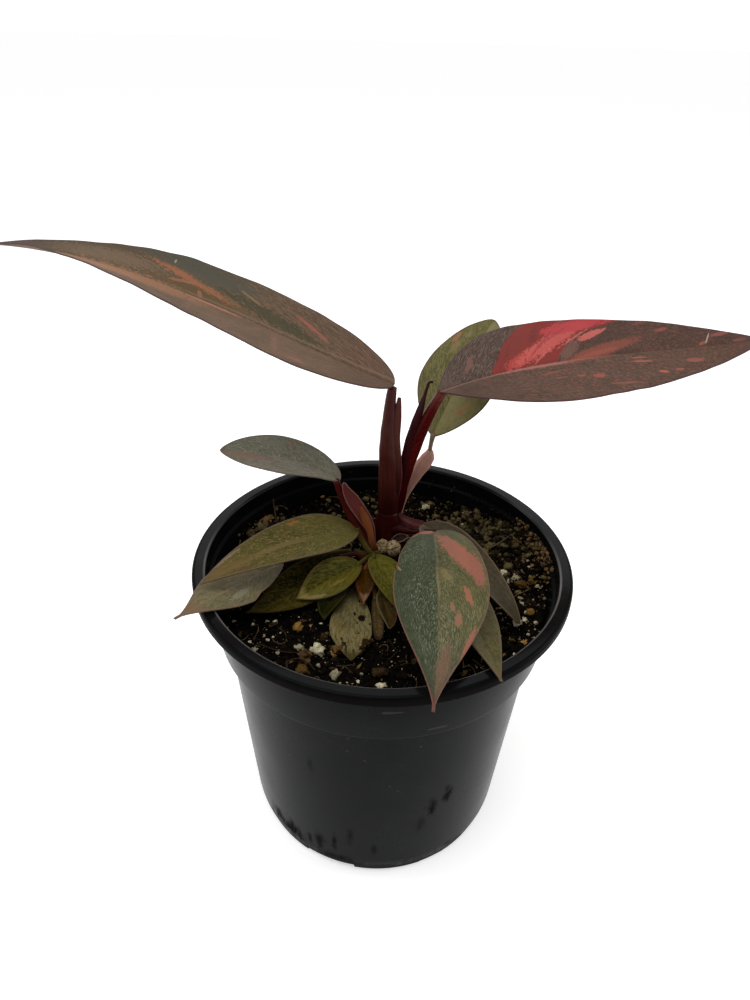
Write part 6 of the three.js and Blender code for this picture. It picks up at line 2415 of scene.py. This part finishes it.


# The third colour of each finish is the painted shade in its hollows.
MIX = Grit("#080604", "#110c08", "#020201", 900, 0.95, 0.3, 0, 0.04)
PUMICE = Grit("#b39d7a", "#8a7552", "#2a2014", 1500, 0.85, 0.25, 0, 0.08)
PEAT = Grit("#090605", "#130d09", "#020201", 1400, 0.95, 0.2, shine=0.04)
CLOD = Grit("#2a2214", "#5c5035", "#0a0804", 1300, 0.95, 0.35, 0.9, 0.04)
RUSTY = Grit("#3b2d1a", "#6e583a", "#150e08", 1300, 0.95, 0.35, 0.9, 0.04)
CLUMP = Grit("#382813", "#644a2a", "#100a05", 1300, 0.95, 0.35, 0.9, 0.04)
MOSSY = Grit("#1f1d10", "#454027", "#0b0905", 1300, 0.95, 0.35, 0.9, 0.04)
BROWN_BARK = Grit("#3f2e18", "#68502f", "#170e06", 1100, 0.85, 0.25, 0.7, 0.08)
OCHRE_BARK = Grit("#6a4f22", "#8a6830", "#2e200d", 1000, 0.8, 0.15, 0.8, 0.08)
WHITE_PERLITE = Grit("#a79e7f", "#cbc2a2", "#4b422f", 1700, 0.85, 0.2, 0.45, 0.08)
TAN_GRAIN = Grit("#7d6f54", "#a99b7d", "#3d3222", 2500, 0.85, 0.1, 0.9)
DRY_FIBRE = Grit("#3d2b1b", "#5c4a35", "#1a110a", 1200, 0.85, 0.1, 0.7)

BITS = (
    Bits("peat_crumbs", 4200, 0.3, 1.25, 0.75, PEAT, 21),
    Bits("brown_clods", 1300, 0.25, 1.35, 0.8, CLOD, 23, 1, patch=(34, 24, 17)),
    Bits("wall_clods", 220, 0.3, 1.4, 0.8, CLOD, 24, 1, patch=(-39, 27, 8)),
    Bits("far_clods", 1000, 0.25, 1.15, 0.8, CLOD, 25, 1, patch=(6, 44, 26)),
    Bits("far_moss", 420, 0.25, 0.9, 0.7, MOSSY, 33, 1, patch=(8, 40, 22)),
    Bits("mossy_clods", 260, 0.35, 1.4, 0.7, MOSSY, 26, 1, patch=(32, 24, 12)),
    Bits("right_flakes", 420, 0.2, 0.8, 0.6, RUSTY, 27, 1, patch=(48, 6, 15)),
    Bits("left_flakes", 160, 0.2, 0.8, 0.6, RUSTY, 32, 1, patch=(-42, 24, 9)),
    Bits("right_grains", 240, 0.12, 0.6, 0.8, TAN_GRAIN, 44, 1, patch=(42, -6, 15)),
    Bits("bark_chips", 220, 0.2, 0.8, 0.45, BROWN_BARK, 22, 1, 1.7),
    Bits("tan_grains", 2600, 0.07, 0.3, 0.8, TAN_GRAIN, 28),
    Bits("white_grains", 260, 0.1, 0.42, 0.85, WHITE_PERLITE, 29, 1),
)

WALL_BITS = (
    (Bits("wall_coir", 560, 0.15, 0.75, 0.8, RUSTY, 41, 1), (-4, 36), (85, 91.8)),
    (Bits("ledge_crumbs", 60, 0.06, 0.35, 0.8, CLOD, 42, 1), (14, 84), (88.6, 91)),
    (Bits("left_wall_coir", 26, 0.15, 0.6, 0.8, RUSTY, 43, 1), (128, 168), (84.5, 87.5)),
)

PERLITE = (
    Lump(-16.6, -26.9, 3.5, 1, 30, 0.9), Lump(-21.6, -26.3, 2.2, 1.1, 0, 0.9),
    Lump(-11.1, -35.7, 2.2, 1.5, 70), Lump(-15.8, -32.6, 1.2), Lump(-25.8, -32.8, 0.8),
    Lump(-27.1, -27.8, 1.1, 1.3, 80), Lump(-33.3, -27.6, 1.6), Lump(-35.2, -24.4, 0.9),
    Lump(-31.8, -21.7, 0.7), Lump(-29.1, -22.8, 0.6), Lump(-30.3, -24.1, 0.9), Lump(-31.7, -16.6, 1.1),
    Lump(-29.5, -16.2, 1.1, 1.4, 80), Lump(-41, -16.7, 0.9), Lump(-35.5, -17.8, 0.9),
    Lump(-16.6, -16.8, 1.1), Lump(-19.4, -17.5, 0.5), Lump(-4.3, -34.3, 0.8), Lump(-5.2, -37, 0.9),
    Lump(0.8, -38.3, 2.1, 1.2, 10, 0.7), Lump(-12.9, -27.3, 1.2), Lump(27.2, 36.9, 1.8, 1.3, 40),
    Lump(28.8, 36.5, 1.5), Lump(26, 31.8, 0.8), Lump(30.2, 27.2, 1.1), Lump(44.9, 12, 1),
    Lump(36.9, 7.4, 1.8), Lump(40.2, 4.5, 2.1), Lump(38.1, 4.4, 0.9, 2, 80), Lump(40.7, -3.3, 1.9),
    Lump(40.9, -5.2, 1.3), Lump(38.9, -12.7, 2.3, 1.2, 60), Lump(40.9, -11.8, 1.5), Lump(43.9, -13, 1.1),
    Lump(46, 0.3, 1.1), Lump(44.3, 10.4, 0.8), Lump(36.5, -25.4, 1), Lump(-12.3, 35.5, 0.9),
    Lump(-45.5, 9, 1.5), Lump(-11.9, 15.5, 1), Lump(-9.1, 12.2, 1), Lump(14.3, 40.7, 2.3, 1.1, 30),
)

OCHRE = (
    Lump(-22.9, -18.8, 2.2, 1.7, 75), Lump(-19.9, -34, 3, 1.2, -10, 0.6), Lump(38.5, 10.2, 1.5),
    Lump(41.3, 1.7, 2.8, 1.1, 0, 0.7), Lump(45, 2.6, 2.4, 1.1, 60, 0.7), Lump(42.8, -9.2, 2.3),
    Lump(37, -19.6, 1.3, 2, 10), Lump(39.8, -20.6, 1.3, 1.6, -20), Lump(33.7, -25.4, 0.8),
    Lump(-21.5, 43.5, 1.3),
)

BARK = (
    Lump(-19.6, -29.3, 3.6, 1, 20, 0.9), Lump(-15.2, -22, 2.3), Lump(0.4, -34.8, 3, 1.3, 20, 0.7),
    Lump(-12.4, -28.8, 1.8, 1.6, -50), Lump(9.6, -29.4, 1.8), Lump(31.5, 28.6, 1.6), Lump(35, 25.5, 2),
    Lump(-38, 27.5, 2.6, 1.6, 40), Lump(-36.6, -3.3, 1.6), Lump(41.5, 18.5, 2, 1.4, 100),
)

CLUMPS = (
    Lump(-11.3, -27.4, 2.4, 1.2, 20, 0.8, 1.5), Lump(-9.9, -25.9, 1.6, 1.3, 60, 0.8, 1.4),
    Lump(-10.2, -27.6, 1.6, 1.2, 0, 0.8, 1.2), Lump(-12.8, -26, 1.3, 1.2, 0, 0.8, 0.8),
    Lump(-3.4, -24.6, 1.8, 1.3, -40, 0.8, 1.4), Lump(-2.4, -23.2, 1.2, 1.3, 0, 0.8, 1.2),
    Lump(-4.6, -26.4, 1.8, 1.2, 10, 0.8, 1), Lump(-12, -28.9, 1.3, 1.2, 0, 0.8, 0.8),
    Lump(-5.4, -27.6, 1.2, 1.2, 0, 0.8, 0.8),
)

FIBRES = (
    Fibre(((-35.4, 28.4, 0.2), (-35.6, 29, 2.6), (-36, 29.8, 5), (-36.2, 30.6, 7.4)), 0.55),
    Fibre(((-35.9, 29.8, 4.6), (-34.6, 30.6, 5.4), (-33, 31.2, 5.2), (-31.8, 31.4, 4.4)), 0.6),
    Fibre(((31.8, 16.4, 0.9), (34.6, 17.2, 1.5), (37.4, 18.4, 1.9), (40, 19.6, 2.4)), 0.5),
    Fibre(((-19.6, 42.6, 1), (-17.6, 42.8, 1.4), (-15.4, 42.8, 1.2)), 0.6),
    Fibre(
        ((-11.8, 18.2, 1), (-10.6, 17.2, 2.2), (-9.8, 15.4, 2.2), (-10.4, 13.6, 1.4), (-11.6, 13.4, 0.8)),
        0.6,
    ),
    Fibre(((22.1, -31.3, 0.6), (23.6, -31.4, 1.4), (24.8, -32.4, 1.2), (25.2, -33.8, 0.5)), 0.35),
    Fibre(((24.8, -28.2, 0.6), (25.8, -29.8, 1.2), (27, -31.2, 1.1), (28.2, -32.6, 0.5)), 0.3),
    Fibre(((-45.2, 10.4, 0.6), (-44.4, 12, 2), (-44.2, 13.6, 3.6)), 0.5),
    Fibre(((-34, -18, 0.5), (-33.4, -21, 1.1), (-34.2, -24, 0.6)), 0.3),
    Fibre(((-28, -19, 0.5), (-26, -21.5, 1.2), (-25, -24.6, 0.8)), 0.3),
    Fibre(((-32.6, -25.6, 0.6), (-29, -27.8, 1.3), (-25, -28.8, 1.2), (-21.8, -28.6, 0.9)), 0.4),
    Fibre(((-24.6, -32.2, 0.8), (-21.4, -31.4, 1.7), (-18.4, -32.6, 1.5), (-16.4, -34.6, 0.7)), 0.4),
    Fibre(((-11, -32.6, 0.8), (-8.6, -33.4, 1.2), (-6.6, -35, 0.7)), 0.3),
)


@dataclass(frozen=True)
class Studio:
    """Pale floor, soft lights and the camera at the photograph's angle."""

    camera_at: Point = (0.0, -171.9983, 227.1355)
    pitch: float = 0.5852
    yaw: float = -0.0156
    roll: float = 0.0281
    focal_pixels: float = 751.0
    frame_height: float = 1000.0
    film_height: float = 36.0
    floor_size: float = 12000.0
    floor_glow: float = 0.5
    air_behind: float = 1.02
    air_in_front: float = 0.45
    air_above: float = 0.58

    def camera(self) -> None:
        """Sets the camera."""
        flat = math.cos(self.pitch)
        ahead = Vector((math.sin(self.yaw) * flat, math.cos(self.yaw) * flat, -math.sin(self.pitch)))
        level = ahead.cross(Vector((0, 0, 1))).normalized()
        upright = level.cross(ahead)
        c, s = math.cos(self.roll), math.sin(self.roll)
        right = c * level + s * upright
        up = c * upright - s * level
        lens = bpy.data.cameras.new("camera")
        lens.sensor_fit = "VERTICAL"
        lens.sensor_height = self.film_height
        lens.lens = self.film_height * self.focal_pixels / self.frame_height
        lens.clip_start = 0.01
        lens.clip_end = 50.0
        made = put("camera", lens)
        turn = Matrix((right, up, -ahead)).transposed().to_4x4()
        made.matrix_world = Matrix.Translation(Vector(self.camera_at) * MM) @ turn
        bpy.context.scene.camera = made

    def floor(self) -> None:
        """Lays the pale floor."""
        half = self.floor_size / 2 * MM
        corners = [(-half, -half, 0), (half, -half, 0), (half, half, 0), (-half, half, 0)]
        made = solid("floor", corners, [(0, 1, 2, 3)])
        graph = material_graph("floor_paper")
        colour = graph.mix(graph.speckle(graph.here(), 40.0), "#f2f2f2", "#f4f4f4")
        glow = {"Emission Color": "#ffffff", "Emission Strength": self.floor_glow}
        made.data.materials.append(graph.finish(colour, 0.9, 0.05, others=glow))

    def lamp(self, name: str, at: Point, size: float, power: float) -> None:
        """Hangs one soft lamp that points at the plant.

        Args:
            name: The lamp's name.
            at: Its place.
            size: Its width.
            power: Its power in watts.
        """
        light = bpy.data.lights.new(name, "AREA")
        light.shape = "DISK"
        light.size = size * MM
        light.energy = power
        made = put(name, light)
        made.location = Vector(at) * MM
        made.rotation_euler = (Vector((0, 0, 100)) - Vector(at)).to_track_quat("-Z", "Y").to_euler()

    def air(self) -> None:
        """Lights the studio softly from all round, more from behind than from in front."""
        graph = Graph(bpy.data.worlds.new("studio_air"))
        way = graph.node("ShaderNodeTexCoord").outputs["Generated"]
        _, y, z = graph.split(way)
        level = self.air_in_front + y.rise(-0.7, 0.35) * (self.air_behind - self.air_in_front)
        level = level * (1.0 - z.rise(0.1, 0.8) * (1.0 - self.air_above))
        light = graph.node("ShaderNodeBackground", None, {"Color": "#ffffff", "Strength": level})
        graph.node("ShaderNodeOutputWorld", None, {"Surface": light.outputs[0]})
        bpy.context.scene.world = graph.owner

    def build(self) -> None:
        """Sets up the whole studio."""
        self.camera()
        self.floor()
        self.air()
        self.lamp("top_lamp", (-150, -100, 900), 700, 3.5)
        self.lamp("left_lamp", (-800, 100, 450), 500, 1.5)
        self.lamp("right_lamp", (800, 50, 450), 500, 2.0)
        bpy.context.scene.view_settings.view_transform = "Standard"


def main() -> None:
    """Builds every piece in order and reports it."""
    logging.basicConfig(level=logging.INFO, format="%(name)s %(message)s")
    Studio().build()
    Pot().build()
    soil = Soil(clearance=Clearance(leaf.blade for leaf in LEAVES))
    soil.bed()
    for bits in BITS:
        soil.scatter(bits)
    for bits, turns, heights in WALL_BITS:
        soil.on_wall(bits, turns, heights)
    soil.placed("perlite_bits", PERLITE, WHITE_PERLITE)
    soil.placed("ochre_bits", OCHRE, OCHRE_BARK)
    soil.placed("bark_bits", BARK, BROWN_BARK)
    soil.placed("brown_clumps", CLUMPS, CLUMP)
    soil.fibres("dry_fibres", FIBRES, 150, DRY_FIBRE, 31)
    Nugget().build()
    for shoot in SHOOTS:
        shoot.build()
    for leaf in LEAVES:
        leaf.build()


if __name__ == "__main__":
    main()
